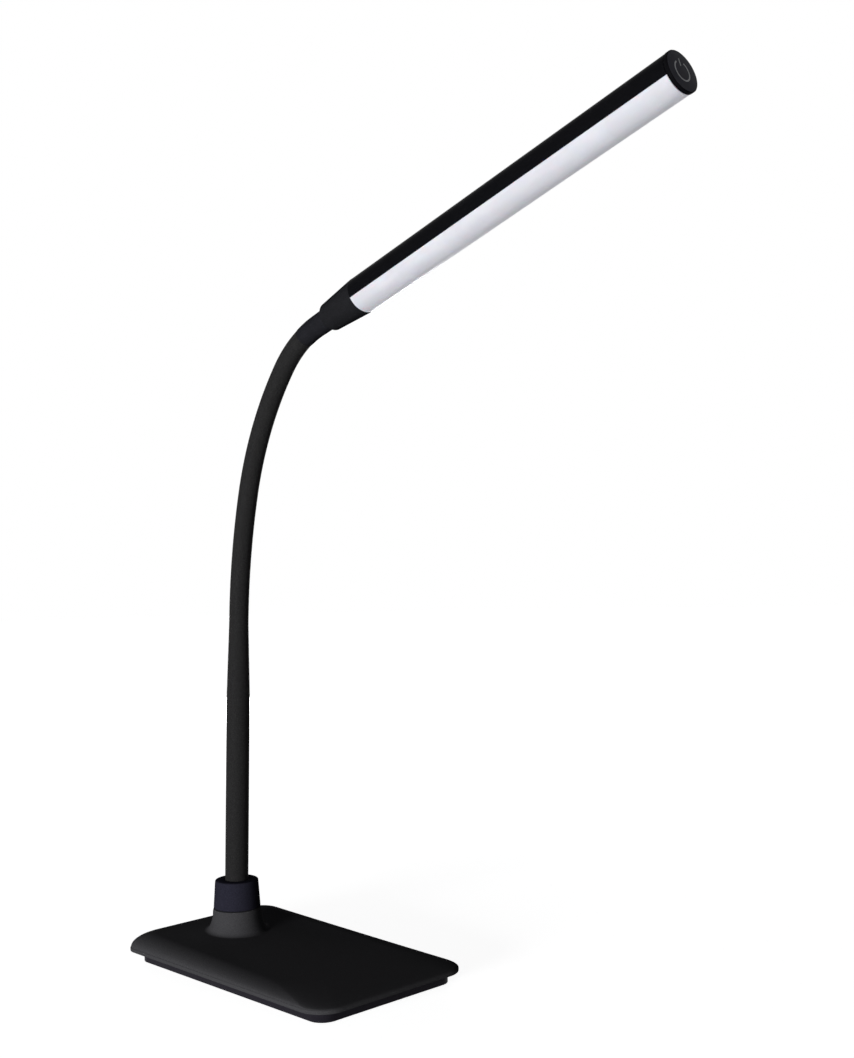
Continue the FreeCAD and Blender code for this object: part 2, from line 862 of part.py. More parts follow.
def plug_block(x_low, x_high):
    """The tongue that fits the upper half of the bar, above its web and inside its wall."""
    radius = bar_radius - housing_wall - slip
    return bar(radius, x_low, x_high).common(
        box(x_low, x_high, -bar_radius, bar_radius, web_bottom + web_thickness + slip,
            bar_radius))


def port_room(x_low, x_high):
    """The space that the bar's screw port and the rib over it take out of a plug."""
    side = port_rib / 2 + slip
    rib = box(x_low, x_high, -side, side, port_height, bar_radius)
    return fused(bar(port_radius + slip, x_low, x_high, 0, port_height), rib)


def head_cone():
    """Turned cone with a bulkhead for the neck's nut and a tongue that enters the bar."""
    back = -cone_length
    outside = turned_bar([(back, 0), (back, cone_radius(back)), (0, cone_radius(0)), (0, 0)])
    small_edge = [e for e in outside.Edges
                  if len(e.Vertexes) == 1 and abs(e.BoundBox.XMax - back) < 0.01]
    cone = outside.makeFillet(cone_small_edge, small_edge)
    first = back + cone_end_wall
    bulkhead = -cone_bulkhead_at
    chamber = bulkhead + cone_bulkhead
    mouth = bar_radius - housing_wall - 0.5
    rear_hollow = cone_radius(first) - cone_wall
    cone = cone.cut(turned_bar([(first, 0), (first, rear_hollow), (bulkhead, rear_hollow),
                                (bulkhead, 0)]))
    cone = cone.cut(turned_bar([(chamber, 0), (chamber, cone_radius(chamber) - cone_wall),
                                (-4, mouth), (1, mouth), (1, 0)]))
    cone = cone.cut(bar(cuff_end_radius + slip, back - 1, first + 0.01))
    cone = cone.cut(bar(upper_stud_radius + slip, bulkhead - 1, chamber + 1))
    tongue = plug_block(-tongue_back, plug_length)
    tongue = tongue.cut(port_room(-slip, plug_length + 1))
    lead_z = touch_board_bottom + head_lead_radius + slip
    tongue = tongue.cut(bar(head_lead_radius + part_gap, -tongue_back - 1, plug_length + 1,
                            head_lead_y, lead_z))
    cone = fused(cone, tongue)
    return cone.cut(bar(port_bore + slip, -6, 1, 0, port_height))


def upper_ferrule():
    """Steel end fitting of the conduit in the cone, flanged and threaded."""
    seat = -cone_bulkhead_at
    tail_end = seat + cone_bulkhead + upper_nut_height + upper_stud_tail
    cup = conduit_radius + running_clearance
    bore_from = conduit_end - neck_length - cone_length
    first = -cone_length + cone_end_wall + slip
    return turned_bar([(first, cup), (first, upper_flange_radius), (seat, upper_flange_radius),
                       (seat, upper_stud_radius), (tail_end, upper_stud_radius),
                       (tail_end, conduit_bore), (bore_from, conduit_bore), (bore_from, cup)])


def head_nut():
    seat = -cone_bulkhead_at + cone_bulkhead
    nut = hexagon(upper_nut_flats, upper_nut_height, V(seat, 0, 0), V(1, 0, 0))
    return nut.cut(bar(upper_stud_radius + running_clearance, seat - 1,
                       seat + upper_nut_height + 1))


def cone_screw():
    """Screw from inside the cone into the bar's screw port."""
    head_end = cone_screw_seat - cone_screw_head_height
    shank = bar(port_bore - screw_slip, head_end + 0.4, plug_length, 0, port_height)
    head = bar(cone_screw_head, head_end, cone_screw_seat, 0, port_height)
    return fused(shank, head)


def head_housing():
    """Extruded black housing: round wall, web for the light board, and a screw port."""
    ring = bar(bar_radius, 0, bar_length).cut(bar(bar_radius - housing_wall, -1, bar_length + 1))
    wall = ring.cut(below_wedge(housing_half_angle, bar_length))
    inside = bar_radius - housing_wall / 2
    web = bar(inside, 0, bar_length).common(
        box(0, bar_length, -bar_radius, bar_radius, web_bottom, web_bottom + web_thickness))
    rib = box(0, bar_length, -port_rib / 2, port_rib / 2, port_height, inside)
    port = bar(port_radius, 0, bar_length, 0, port_height)
    profile = fused(wall, web, rib, port)
    return profile.cut(bar(port_bore, -1, bar_length + 1, 0, port_height))


def sector_bar(outer, inner, first, last, length):
    """Part of a tube's wall between two angles measured from the top, on the +Y side."""
    ring = bar(outer, 0, length).cut(bar(inner, -1, length + 1))
    reach = 3 * bar_radius
    a, b = math.radians(first), math.radians(last)
    outline = Part.makePolygon([V(-1, 0, 0), V(-1, reach * math.sin(a), reach * math.cos(a)),
                                V(-1, reach * math.sin(b), reach * math.cos(b)), V(-1, 0, 0)])
    return ring.common(Part.Face(outline).extrude(V(length + 2, 0, 0)))


def diffuser():
    """White lower part of the bar, held by two legs that hook inside the housing's wall."""
    seam = housing_half_angle + math.degrees(diffuser_seam / bar_radius)
    inner = bar_radius - diffuser_wall
    ring = bar(bar_radius, 0, bar_length).cut(bar(inner, -1, bar_length + 1))
    bowl = ring.common(below_wedge(seam, bar_length))
    left = sector_bar(inner, inner - diffuser_leg, diffuser_leg_top, diffuser_leg_root, bar_length)
    right = left.mirror(V(0, 0, 0), V(0, 1, 0))
    return fused(bowl, left, right)


board_top = web_bottom
board_bottom = web_bottom - board_thickness


def board_screw_places():
    spacing = (bar_length - 2 * led_margin) / (board_screw_count + 1)
    return [led_margin + spacing * (i + 1) for i in range(board_screw_count)]


def led_pitch():
    return (bar_length - 2 * led_margin) / (led_count - 1)


def led_board():
    board = box(board_margin, bar_length - board_margin, -board_width / 2, board_width / 2,
                board_bottom, board_top)
    for x in board_screw_places():
        board = board.cut(bar_hole(x))
    return board


def head_leads():
    """Two leads that come out of the neck's lead, to the light board and to the touch board."""
    start = lead_end + slip
    light_end = board_margin - slip
    light_z = web_bottom - head_lead_radius - slip
    touch_end = bar_length - touch_board_gap - touch_board_length - slip
    touch_z = touch_board_bottom + head_lead_radius + slip
    spread = head_lead_spread
    to_light = wire(head_lead_radius, [(start, 0, -spread), (start + 4, 0, -spread),
                                       (light_end - 2, 0, light_z), (light_end, 0, light_z)])
    to_touch = wire(head_lead_radius, [(start, 0, spread), (start + 2, 0, spread),
                                       (-tongue_back - 0.5, head_lead_y, touch_z),
                                       (touch_end, head_lead_y, touch_z)])
    return group([to_light, to_touch])


def bar_hole(x):
    return rod(board_screw_radius + screw_slip, x, board_width / 3, board_bottom - 1,
               board_top + 1)


def leds():
    """The row of light chips under the board."""
    chips = []
    for i in range(led_count):
        x = led_margin + led_pitch() * i
        chips.append(box(x - led_length / 2, x + led_length / 2, -led_width / 2, led_width / 2,
                         board_bottom - led_height, board_bottom))
    return group(chips)


def board_screws():
    screws = []
    for x in board_screw_places():
        y = board_width / 3
        head = rod(board_screw_head, x, y, board_bottom - board_screw_head_height, board_bottom)
        shank = rod(board_screw_radius, x, y, board_bottom - board_screw_head_height / 2,
                    board_top)
        screws.append(fused(shank, head))
    return group(screws)


cap_start = bar_length + cap_seam
cap_face = cap_start + cap_thickness


def end_cap():
    """Touch cap: an unbroken face on a plug that fits the bar above and below the light board."""
    disc = bar(cap_radius, cap_start, cap_face)
    rims = [e for e in disc.Edges if len(e.Vertexes) == 1 and e.BoundBox.XMax > cap_face - 0.01]
    disc = disc.makeFillet(cap_edge, rims)
    back = cap_start - plug_length
    upper = plug_block(back, cap_start).cut(port_room(back - 1, bar_length + slip))
    lower_radius = bar_radius - diffuser_wall - diffuser_leg - slip
    lower = bar(lower_radius, cap_start - board_margin + part_gap, cap_start).common(
        box(0, cap_start, -bar_radius, bar_radius, -bar_radius, board_bottom - led_height))
    cap = fused(disc, upper, lower)
    return cap.cut(bar(touch_pocket_radius, back - 1, cap_start + touch_pocket_depth))


touch_board_bottom = web_bottom + web_thickness
touch_board_top = touch_board_bottom + touch_board_thickness


def touch_plate():
    """Thin sensing disc stuck behind the cap's face."""
    front = cap_start + touch_pocket_depth
    return bar(touch_pocket_radius - slip, front - touch_plate_thickness, front)


def touch_board():
    end = bar_length - touch_board_gap
    return box(end - touch_board_length, end, -touch_board_width / 2, touch_board_width / 2,
               touch_board_bottom, touch_board_top)


def touch_spring():
    """Contact spring from the touch board to the sensing disc, as its outer cylinder."""
    z = touch_board_top + touch_spring_radius + slip
    front = cap_start + touch_pocket_depth - touch_plate_thickness
    back = bar_length - touch_board_gap - touch_spring_overlap
    return bar(touch_spring_radius, back, front, touch_spring_y, z)


sub_parts = {
    "base_shell": base_shell,
    "base_cover": base_cover,
    "base_pad": base_pad,
    "cover_screws": cover_screws,
    "counterweight": counterweight,
    "counterweight_screws": counterweight_screws,
    "dc_jack": dc_jack,
    "jack_pin": jack_pin,
    "driver_board": driver_board,
    "driver_parts": driver_parts,
    "base_leads": base_leads,
    "swivel_bushing": swivel_bushing,
    "lower_ferrule": lower_ferrule,
    "swivel_washer": swivel_washer,
    "swivel_nut": swivel_nut,
    "neck_collar": neck_collar,
    "neck_cuff": neck_cuff,
}
head_parts = {
    "head_cone": head_cone,
    "upper_ferrule": upper_ferrule,
    "head_nut": head_nut,
    "cone_screw": cone_screw,
    "head_housing": head_housing,
    "diffuser": diffuser,
    "led_board": led_board,
    "leds": leds,
    "head_leads": head_leads,
    "board_screws": board_screws,
    "end_cap": end_cap,
    "touch_plate": touch_plate,
    "touch_board": touch_board,
    "touch_spring": touch_spring,
}

os.makedirs("parts", exist_ok=True)


def save(name, shape):
    if not shape.isValid():
        print(name, "is not a valid shape")
    shape.exportStep(f"parts/{name}.step")
    print(name, len(shape.Solids), "solid", round(shape.Volume / 1000, 2), "cm3")


for name, make in sub_parts.items():
    save(name, make())
for name, make in head_parts.items():
    save(name, placed(make()))
for link in range(pivot_count + 1):
    save(f"neck_sleeve_{link + 1}", neck_sleeve(link))
    save(f"neck_conduit_{link + 1}", neck_conduit(link))
    save(f"neck_lead_{link + 1}", neck_lead(link))
print("neck length", round(neck_length, 1), "seam", seam_point, "head tilt", neck_end_tilt)
for pivot in pivots:
    print("pivot", pivot, neck_at(pivot))
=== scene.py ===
import math

import bmesh
import bpy
from mathutils import Matrix, Vector


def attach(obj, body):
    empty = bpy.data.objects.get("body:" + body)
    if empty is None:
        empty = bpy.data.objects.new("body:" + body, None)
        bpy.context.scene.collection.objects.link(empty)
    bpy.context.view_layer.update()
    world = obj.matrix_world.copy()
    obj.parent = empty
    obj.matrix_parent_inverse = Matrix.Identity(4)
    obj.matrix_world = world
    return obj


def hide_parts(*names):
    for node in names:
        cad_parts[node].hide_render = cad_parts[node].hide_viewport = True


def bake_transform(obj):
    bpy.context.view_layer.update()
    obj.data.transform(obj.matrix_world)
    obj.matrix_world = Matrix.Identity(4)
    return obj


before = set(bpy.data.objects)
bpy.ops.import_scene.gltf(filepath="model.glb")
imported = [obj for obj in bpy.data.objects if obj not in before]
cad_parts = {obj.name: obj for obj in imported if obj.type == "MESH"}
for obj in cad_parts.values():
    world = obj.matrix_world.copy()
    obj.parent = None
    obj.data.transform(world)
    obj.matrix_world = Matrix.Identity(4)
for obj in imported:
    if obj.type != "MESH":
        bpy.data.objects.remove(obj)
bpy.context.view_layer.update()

# Camera
# Stands where the photograph was taken from: in front of the lamp and to its right, at half its
# height, looking level. The picture is 854 by 1058 pixels with a focal length of 1400 pixels.
picture_height = 1058
focal_pixels = 1400
camera_place = Vector((0.61381, -0.48996, 0.2374))
camera_turn, camera_pitch, camera_roll = (math.radians(a) for a in (135.56, 0.5, 1.05))

forward = Vector((math.cos(camera_pitch) * math.cos(camera_turn),
                  math.cos(camera_pitch) * math.sin(camera_turn), math.sin(camera_pitch)))
level_right = forward.cross(Vector((0, 0, 1))).normalized()
level_down = forward.cross(level_right)
right = level_right * math.cos(camera_roll) + level_down * math.sin(camera_roll)
down = level_down * math.cos(camera_roll) - level_right * math.sin(camera_roll)
lens = bpy.data.cameras.new("photo_camera")
lens.sensor_fit = "VERTICAL"
lens.sensor_height = 36
lens.lens = focal_pixels * lens.sensor_height / picture_height
camera = bpy.data.objects.new("photo_camera", lens)
camera.matrix_world = Matrix((right, -down, -forward)).transposed().to_4x4()
camera.location = camera_place
bpy.context.scene.collection.objects.link(camera)
bpy.context.scene.camera = camera

# Tray
# The narrow plinth under the lamp is the upright edge of a black plastic tray, injection moulded,
# that closes the shell from below. Its flange sits inside the shell's rim.
mm = 0.001
plinth_length, plinth_width, plinth_corner = 162.7 * mm, 93.5 * mm, 8.8 * mm
tray_bottom, tray_floor, plinth_top, flange_top = 0.1 * mm, 3.2 * mm, 6.1 * mm, 8.0 * mm
plinth_wall, pad_margin, pad_top = 2.2 * mm, 4.0 * mm, 1.5 * mm
rim_overhang, shell_wall, flange_clearance = 6.0 * mm, 2.4 * mm, 0.1 * mm
tray_edge, tray_edge_share = 0.3 * mm, 0.3
corner_steps = 16


def rounded_ring(bm, low, high, width, corner, z, tilt=0.0, rear_corner=None):
    """The edges of a rounded rectangle from x = low to x = high, tilted about Y, with no face.
    The corners at x = low have the radius rear_corner, where that is given."""
    half = width / 2
    spots = [bm.verts.new((x, y, 0)) for x, y in
             ((high, half), (low, half), (low, -half), (high, -half))]
    bm.faces.new(spots)
    for pair, radius in ((spots[0::3], corner), (spots[1:3], rear_corner or corner)):
        bmesh.ops.bevel(bm, geom=pair, offset=radius, segments=corner_steps,
                        affect="VERTICES", profile=0.5, material=-1)
    face = max(bm.faces, key=lambda f: len(f.verts))
    verts, edges = list(face.verts), list(face.edges)
    place = Matrix.Translation((0, 0, z)) @ Matrix.Rotation(tilt, 4, "Y")
    bmesh.ops.transform(bm, matrix=place, verts=verts)
    bmesh.ops.delete(bm, geom=[face], context="FACES_ONLY")
    return edges


def stack_rings(bm, rings, close_first=True, close_last=True):
    """Walls from each ring to the next, with a flat face over the first and the last."""
    for lower, upper in zip(rings, rings[1:]):
        bmesh.ops.bridge_loops(bm, edges=lower + upper)
    for ring, wanted in ((rings[0], close_first), (rings[-1], close_last)):
        if wanted:
            bmesh.ops.contextual_create(bm, geom=ring)


def finished(bm, name, smooth_angle=40):
    """Turns the bmesh into an object whose normals point outwards and whose curves are smooth."""
    bmesh.ops.recalc_face_normals(bm, faces=bm.faces)
    mesh = bpy.data.meshes.new(name)
    bm.to_mesh(mesh)
    bm.free()
    mesh.shade_smooth()
    mesh.set_sharp_from_angle(angle=math.radians(smooth_angle))
    piece = bpy.data.objects.new(name, mesh)
    bpy.context.scene.collection.objects.link(piece)
    return piece


def moulded_grain_group():
    """Fine moulding grain and faint handling marks, as a height and two masks."""
    group = bpy.data.node_groups.new("moulded_grain", "ShaderNodeTree")
    for name, default in (("Grain Size", 2500.0), ("Mark Size", 60.0)):
        socket = group.interface.new_socket(name, in_out="INPUT", socket_type="NodeSocketFloat")
        socket.default_value = default
    for name in ("Height", "Speckle", "Marks"):
        group.interface.new_socket(name, in_out="OUTPUT", socket_type="NodeSocketFloat")
    nodes, links = group.nodes, group.links
    given, result = nodes.new("NodeGroupInput"), nodes.new("NodeGroupOutput")
    place = nodes.new("ShaderNodeTexCoord")
    grain, marks = nodes.new("ShaderNodeTexNoise"), nodes.new("ShaderNodeTexNoise")
    grain.inputs["Detail"].default_value = 4
    marks.inputs["Detail"].default_value = 6
    marks.inputs["Roughness"].default_value = 0.6
    links.new(place.outputs["Object"], grain.inputs["Vector"])
    links.new(place.outputs["Object"], marks.inputs["Vector"])
    links.new(given.outputs["Grain Size"], grain.inputs["Scale"])
    links.new(given.outputs["Mark Size"], marks.inputs["Scale"])
    spread = nodes.new("ShaderNodeMapRange")
    spread.inputs["From Min"].default_value = 0.45
    spread.inputs["From Max"].default_value = 0.62
    links.new(marks.outputs["Fac"], spread.inputs["Value"])
    speckle = nodes.new("ShaderNodeMapRange")
    speckle.inputs["From Min"].default_value = 0.35
    speckle.inputs["From Max"].default_value = 0.65
    links.new(grain.outputs["Fac"], speckle.inputs["Value"])
    links.new(grain.outputs["Fac"], result.inputs["Height"])
    links.new(speckle.outputs["Result"], result.inputs["Speckle"])
    links.new(spread.outputs["Result"], result.inputs["Marks"])
    return group


moulded_grain = moulded_grain_group()


def polymer(name, dark, light, roughness, grain_depth, specular=0.5, grain_size=2500.0,
            mark_size=60.0, rougher=0.08, metallic=0.0, coat=0.0):
    """Moulded or rubbery surface: two close colours speckled by the grain, a bump of that grain,
    and a roughness that varies where hands have been."""
    material = bpy.data.materials.new(name)
    material.use_nodes = True
    nodes, links = material.node_tree.nodes, material.node_tree.links
    surface = nodes["Principled BSDF"]
    surface.inputs["Specular IOR Level"].default_value = specular
    surface.inputs["Metallic"].default_value = metallic
    surface.inputs["Coat Weight"].default_value = coat
    surface.inputs["Coat Roughness"].default_value = 0.08
    grain = nodes.new("ShaderNodeGroup")
    grain.node_tree = moulded_grain
    grain.inputs["Grain Size"].default_value = grain_size
    grain.inputs["Mark Size"].default_value = mark_size
    colour = nodes.new("ShaderNodeMix")
    colour.data_type = "RGBA"
    colour.inputs["A"].default_value = (*dark, 1)
    colour.inputs["B"].default_value = (*light, 1)
    links.new(grain.outputs["Speckle"], colour.inputs["Factor"])
    links.new(colour.outputs["Result"], surface.inputs["Base Color"])
    gloss = nodes.new("ShaderNodeMapRange")
    gloss.inputs["To Min"].default_value = roughness
    gloss.inputs["To Max"].default_value = roughness + rougher
    links.new(grain.outputs["Marks"], gloss.inputs["Value"])
    links.new(gloss.outputs["Result"], surface.inputs["Roughness"])
    bump = nodes.new("ShaderNodeBump")
    bump.inputs["Strength"].default_value = 0.5
    bump.inputs["Distance"].default_value = grain_depth
    links.new(grain.outputs["Height"], bump.inputs["Height"])
    links.new(bump.outputs["Normal"], surface.inputs["Normal"])
    return material


def dress(piece, material):
    """Gives a new piece its only material."""
    piece.data.materials.clear()
    piece.data.materials.append(material)
    return piece


def dress_nodes(material, *names):
    """Gives CAD nodes a material in place of the plain one they came with."""
    for name in names:
        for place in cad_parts[name].material_slots:
            place.material = material


def plinth_ring(bm, outward, z, corner=None):
    """A level of the tray, set outward from the plinth's upright edge."""
    grown = plinth_corner + outward if corner is None else corner
    return rounded_ring(bm, -plinth_length / 2 - outward, plinth_length / 2 + outward,
                        plinth_width + 2 * outward, grown, z)


def tray_mesh():
    bm = bmesh.new()
    flange = rim_overhang - shell_wall - flange_clearance
    pad_corner = plinth_corner - pad_margin / 2
    stack_rings(bm, [
        plinth_ring(bm, -pad_margin, pad_top, pad_corner),
        plinth_ring(bm, -pad_margin, tray_bottom, pad_corner),
        plinth_ring(bm, -tray_edge, tray_bottom),
        plinth_ring(bm, -tray_edge_share * tray_edge, tray_bottom + tray_edge_share * tray_edge),
        plinth_ring(bm, 0, tray_bottom + tray_edge),
        plinth_ring(bm, 0, plinth_top),
        plinth_ring(bm, flange, plinth_top),
        plinth_ring(bm, flange, flange_top),
        plinth_ring(bm, -plinth_wall, flange_top),
        plinth_ring(bm, -plinth_wall, tray_floor),
    ])
    return bm


tray_plastic = polymer("tray_plastic", (0.013, 0.012, 0.016), (0.02, 0.018, 0.024), 0.42,
                       0.02 * mm, specular=0.02)
tray = dress(finished(tray_mesh(), "tray"), tray_plastic)
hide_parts("base_cover")
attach(tray, "base")

# Non-slip pad
# Die-cut foam rubber sheet, stuck into the shallow pocket under the tray. The lamp stands on it.
pad_rubber = polymer("pad_rubber", (0.012, 0.012, 0.012), (0.03, 0.03, 0.03), 0.85, 0.12 * mm,
                     specular=0.2, grain_size=1200.0)
dress_nodes(pad_rubber, "base_pad")

# Counterweight
# Punched mild steel plate, held up against the shell by four screws from below, that keeps the
# lamp standing when its head reaches forward.


def metal(name, dark, light, roughness, grain_size=900.0, grain_depth=0.01 * mm):
    """Bare or plated metal with a fine worked grain."""
    return polymer(name, dark, light, roughness, grain_depth, grain_size=grain_size,
                   metallic=1.0, rougher=0.15)


plate_steel = metal("plate_steel", (0.33, 0.33, 0.34), (0.45, 0.45, 0.46), 0.4)
zinc_steel = metal("zinc_steel", (0.55, 0.56, 0.58), (0.68, 0.68, 0.69), 0.28)
dress_nodes(plate_steel, "counterweight")
dress_nodes(zinc_steel, "counterweight_screws", "cover_screws")

# Driver board
# Green glass-fibre board on four posts of the tray, with the coil, capacitor, chip and plug that
# dim the lights. Two leads come to it from the inlet, and one goes up the neck from its plug.
board_green = polymer("board_green", (0.006, 0.09, 0.03), (0.012, 0.15, 0.05), 0.3, 0.01 * mm,
                      coat=0.4)
part_black = polymer("part_black", (0.02, 0.02, 0.022), (0.035, 0.035, 0.038), 0.45, 0.02 * mm)
lead_pvc = polymer("lead_pvc", (0.015, 0.015, 0.015), (0.025, 0.025, 0.025), 0.4, 0.02 * mm)
dress_nodes(board_green, "driver_board", "touch_board")
dress_nodes(part_black, "driver_parts")
dress_nodes(lead_pvc, "base_leads", "head_leads")

# Power inlet
# Round-nosed black nylon socket set in the rear of the shell, with a nickel-plated pin.
inlet_nylon = polymer("inlet_nylon", (0.012, 0.012, 0.012), (0.02, 0.02, 0.02), 0.5, 0.02 * mm)
nickel = metal("nickel", (0.6, 0.58, 0.55), (0.7, 0.68, 0.64), 0.15)
dress_nodes(inlet_nylon, "dc_jack")
dress_nodes(nickel, "jack_pin")

# Base shell
# Black plastic moulding: a rim lip, flanks that round over into a flat sloping top, and the neck
# boss that flares out of it near the rear. Pressed down over the tray and screwed from below.
rim_bottom, rim_top, rim_edge, rim_step = 6.0 * mm, 8.2 * mm, 0.5 * mm, 0.4 * mm
crown_height, front_corner_growth, rear_corner_growth = 4.4 * mm, 9.0 * mm, 2.0 * mm
crown_tilt = math.radians(1.7)
flank_side, flank_rear, flank_front = 13.0 * mm, 7.0 * mm, 34.0 * mm
recess_depth, recess_ledge = 2.0 * mm, 2.0 * mm
neck_x, boss_top, boss_radius, boss_draft = -49.3 * mm, 26.75 * mm, 13.7 * mm, 0.3 * mm
flare_start, flare_radius, foot_round = 25.0 * mm, 20.0 * mm, 3.5 * mm
boss_shelf, boss_cavity_radius, bushing_bore_radius = 20.0 * mm, 10.4 * mm, 7.1 * mm
boss_edge, boss_shoulder = 0.35 * mm, 0.8 * mm
inlet_radius, inlet_height, inlet_cut = 2.85 * mm, 9.3 * mm, 12.0 * mm
crown_levels, flare_steps, foot_steps = 20, 20, 8
boss_steps = 4 * (corner_steps + 1)

rear_x = -plinth_length / 2 - rim_overhang
front_x = -rear_x
rim_width = plinth_width + 2 * rim_overhang
rim_corner = plinth_corner + rim_overhang
rim_rear_corner = 10.0 * mm


def plateau_height(x):
    return rim_top + crown_height - x * math.tan(crown_tilt)


def rim_ring(bm, inset, z):
    return rounded_ring(bm, rear_x + inset, front_x - inset, rim_width - 2 * inset,
                        rim_corner - inset, z, rear_corner=rim_rear_corner - inset)


def crown_ring(bm, turn, inset, drop):
    """One level of the crown, from upright flanks at turn 0 to the level top at 90 degrees."""
    drawn_in, raised = 1 - math.cos(turn), math.sin(turn)
    side = rim_step + inset
    return rounded_ring(
        bm, rear_x + side + flank_rear * drawn_in, front_x - side - flank_front * drawn_in,
        rim_width - 2 * (side + flank_side * drawn_in),
        rim_corner - side + front_corner_growth * drawn_in,
        rim_top + (crown_height - drop) * raised, crown_tilt * raised,
        rim_rear_corner - side + rear_corner_growth * drawn_in)


def boss_profile():
    """Points (radius, height) from the ceiling's hole, up the bore, over the top of the boss and
    down its concave flare to the round that runs out on the sloping top."""
    side = boss_radius + boss_draft
    ceiling = plateau_height(neck_x) - shell_wall
    points = [(boss_cavity_radius, ceiling), (boss_cavity_radius, boss_shelf),
              (bushing_bore_radius, boss_shelf), (bushing_bore_radius, boss_top),
              (boss_radius - boss_edge, boss_top)]
    points += [(boss_radius - boss_edge * (1 - math.sin(a)),
                boss_top - boss_edge * (1 - math.cos(a)))
               for a in (math.radians(d) for d in (30, 60, 90))]
    points += [(side - boss_draft * (z - flare_start) / (boss_top - flare_start), z)
               for z in (flare_start + boss_shoulder, flare_start)]
    flare_centre = side + flare_radius
    foot_z = plateau_height(neck_x) + foot_round
    meeting = math.asin((flare_start - foot_z) / (flare_radius - foot_round))
    foot_centre = flare_centre - (flare_radius - foot_round) * math.cos(meeting)
    points += [(flare_centre - flare_radius * math.cos(meeting * i / flare_steps),
                flare_start - flare_radius * math.sin(meeting * i / flare_steps))
               for i in range(1, flare_steps + 1)]
    for i in range(1, foot_steps + 1):
        turn = meeting + (math.pi / 2 - meeting) * i / foot_steps
        points.append((foot_centre - foot_round * math.cos(turn),
                       foot_z - foot_round * math.sin(turn)))
    return points


def boss_rings(bm):
    """Spins the profile about the neck's axis. Gives the rings at its two ends, the outer one
    laid onto the sloping top."""
    points = boss_profile()
    verts = [bm.verts.new((neck_x + r, 0, z)) for r, z in points]
    edges = [bm.edges.new(pair) for pair in zip(verts, verts[1:])]
    bmesh.ops.spin(bm, geom=verts + edges, cent=(neck_x, 0, 0), axis=(0, 0, 1),
                   angle=2 * math.pi, steps=boss_steps, use_merge=True)
    foot_radius, foot_z = points[-1]
    for v in bm.verts:
        radius = math.hypot(v.co.x - neck_x, v.co.y)
        if radius > boss_radius + boss_draft and v.co.z < flare_start:
            share = (flare_start - v.co.z) / (flare_start - foot_z)
            v.co.z -= share * (v.co.x - neck_x) * math.tan(crown_tilt)

    def open_ring(ring_radius):
        on_ring = {v for v in bm.verts
                   if abs(math.hypot(v.co.x - neck_x, v.co.y) - ring_radius) < 1e-7}
        return [e for e in bm.edges if e.is_boundary and all(v in on_ring for v in e.verts)]

    return open_ring(points[0][0]), open_ring(foot_radius)


def shell_mesh():
    bm = bmesh.new()
    ceiling_ring, foot_ring = boss_rings(bm)
    turns = [math.pi / 2 * level / crown_levels for level in range(crown_levels + 1)]
    inner = shell_wall + recess_ledge
    inside = [crown_ring(bm, turn, inner - rim_step, shell_wall) for turn in reversed(turns)]
    bottom = [rim_ring(bm, inner, rim_bottom + recess_depth),
              rim_ring(bm, shell_wall, rim_bottom + recess_depth),
              rim_ring(bm, shell_wall, rim_bottom)]
    lip = [rim_ring(bm, rim_edge * (1 - math.sin(a)), rim_bottom + rim_edge * (1 - math.cos(a)))
           for a in (math.radians(d) for d in (0, 22.5, 45, 67.5, 90))]
    lip += [rim_ring(bm, rim_edge * (1 - math.cos(a)), rim_top - rim_edge * (1 - math.sin(a)))
            for a in (math.radians(d) for d in (0, 22.5, 45, 67.5))]
    outside = [crown_ring(bm, turn, 0.0, 0.0) for turn in turns]
    stack_rings(bm, inside + bottom + lip + outside, close_first=False, close_last=False)
    bmesh.ops.bridge_loops(bm, edges=outside[-1] + foot_ring)
    bmesh.ops.bridge_loops(bm, edges=inside[0] + ceiling_ring)
    return bm


def cut_away(piece, cutter_bm):
    """Takes a closed shape out of a piece and leaves the result in the piece's mesh."""
    cutter = finished(cutter_bm, piece.name + "_cutter")
    cut = piece.modifiers.new("cut", "BOOLEAN")
    cut.operation, cut.solver, cut.object = "DIFFERENCE", "EXACT", cutter
    bpy.context.view_layer.update()
    seen = piece.evaluated_get(bpy.context.evaluated_depsgraph_get())
    mesh = bpy.data.meshes.new_from_object(seen)
    piece.modifiers.clear()
    piece.data = mesh
    bpy.data.objects.remove(cutter)


shell = finished(shell_mesh(), "shell", smooth_angle=32)
inlet_hole = bmesh.new()
bmesh.ops.create_cone(inlet_hole, cap_ends=True, segments=48, radius1=inlet_radius,
                      radius2=inlet_radius, depth=inlet_cut,
                      matrix=Matrix.Translation((rear_x, 0, inlet_height))
                      @ Matrix.Rotation(math.pi / 2, 4, "Y"))
cut_away(shell, inlet_hole)
shell_black = polymer("shell_black", (0.047, 0.046, 0.049), (0.069, 0.068, 0.072), 0.35,
                      0.012 * mm, specular=0.0, mark_size=35.0, rougher=0.1)
dress(shell, shell_black)
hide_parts("base_shell")
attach(shell, "base")

# Swivel
# Turned steel stud in a slippery white plastic bushing, kept by a washer and a nut under the
# boss. The collar and neck turn on it.
acetal_white = polymer("acetal_white", (0.6, 0.6, 0.56), (0.68, 0.68, 0.64), 0.35, 0.01 * mm)
turned_steel = metal("turned_steel", (0.45, 0.45, 0.46), (0.58, 0.58, 0.59), 0.25)
dress_nodes(acetal_white, "swivel_bushing")
dress_nodes(turned_steel, "lower_ferrule", "swivel_washer", "swivel_nut", "upper_ferrule",
            "head_nut")

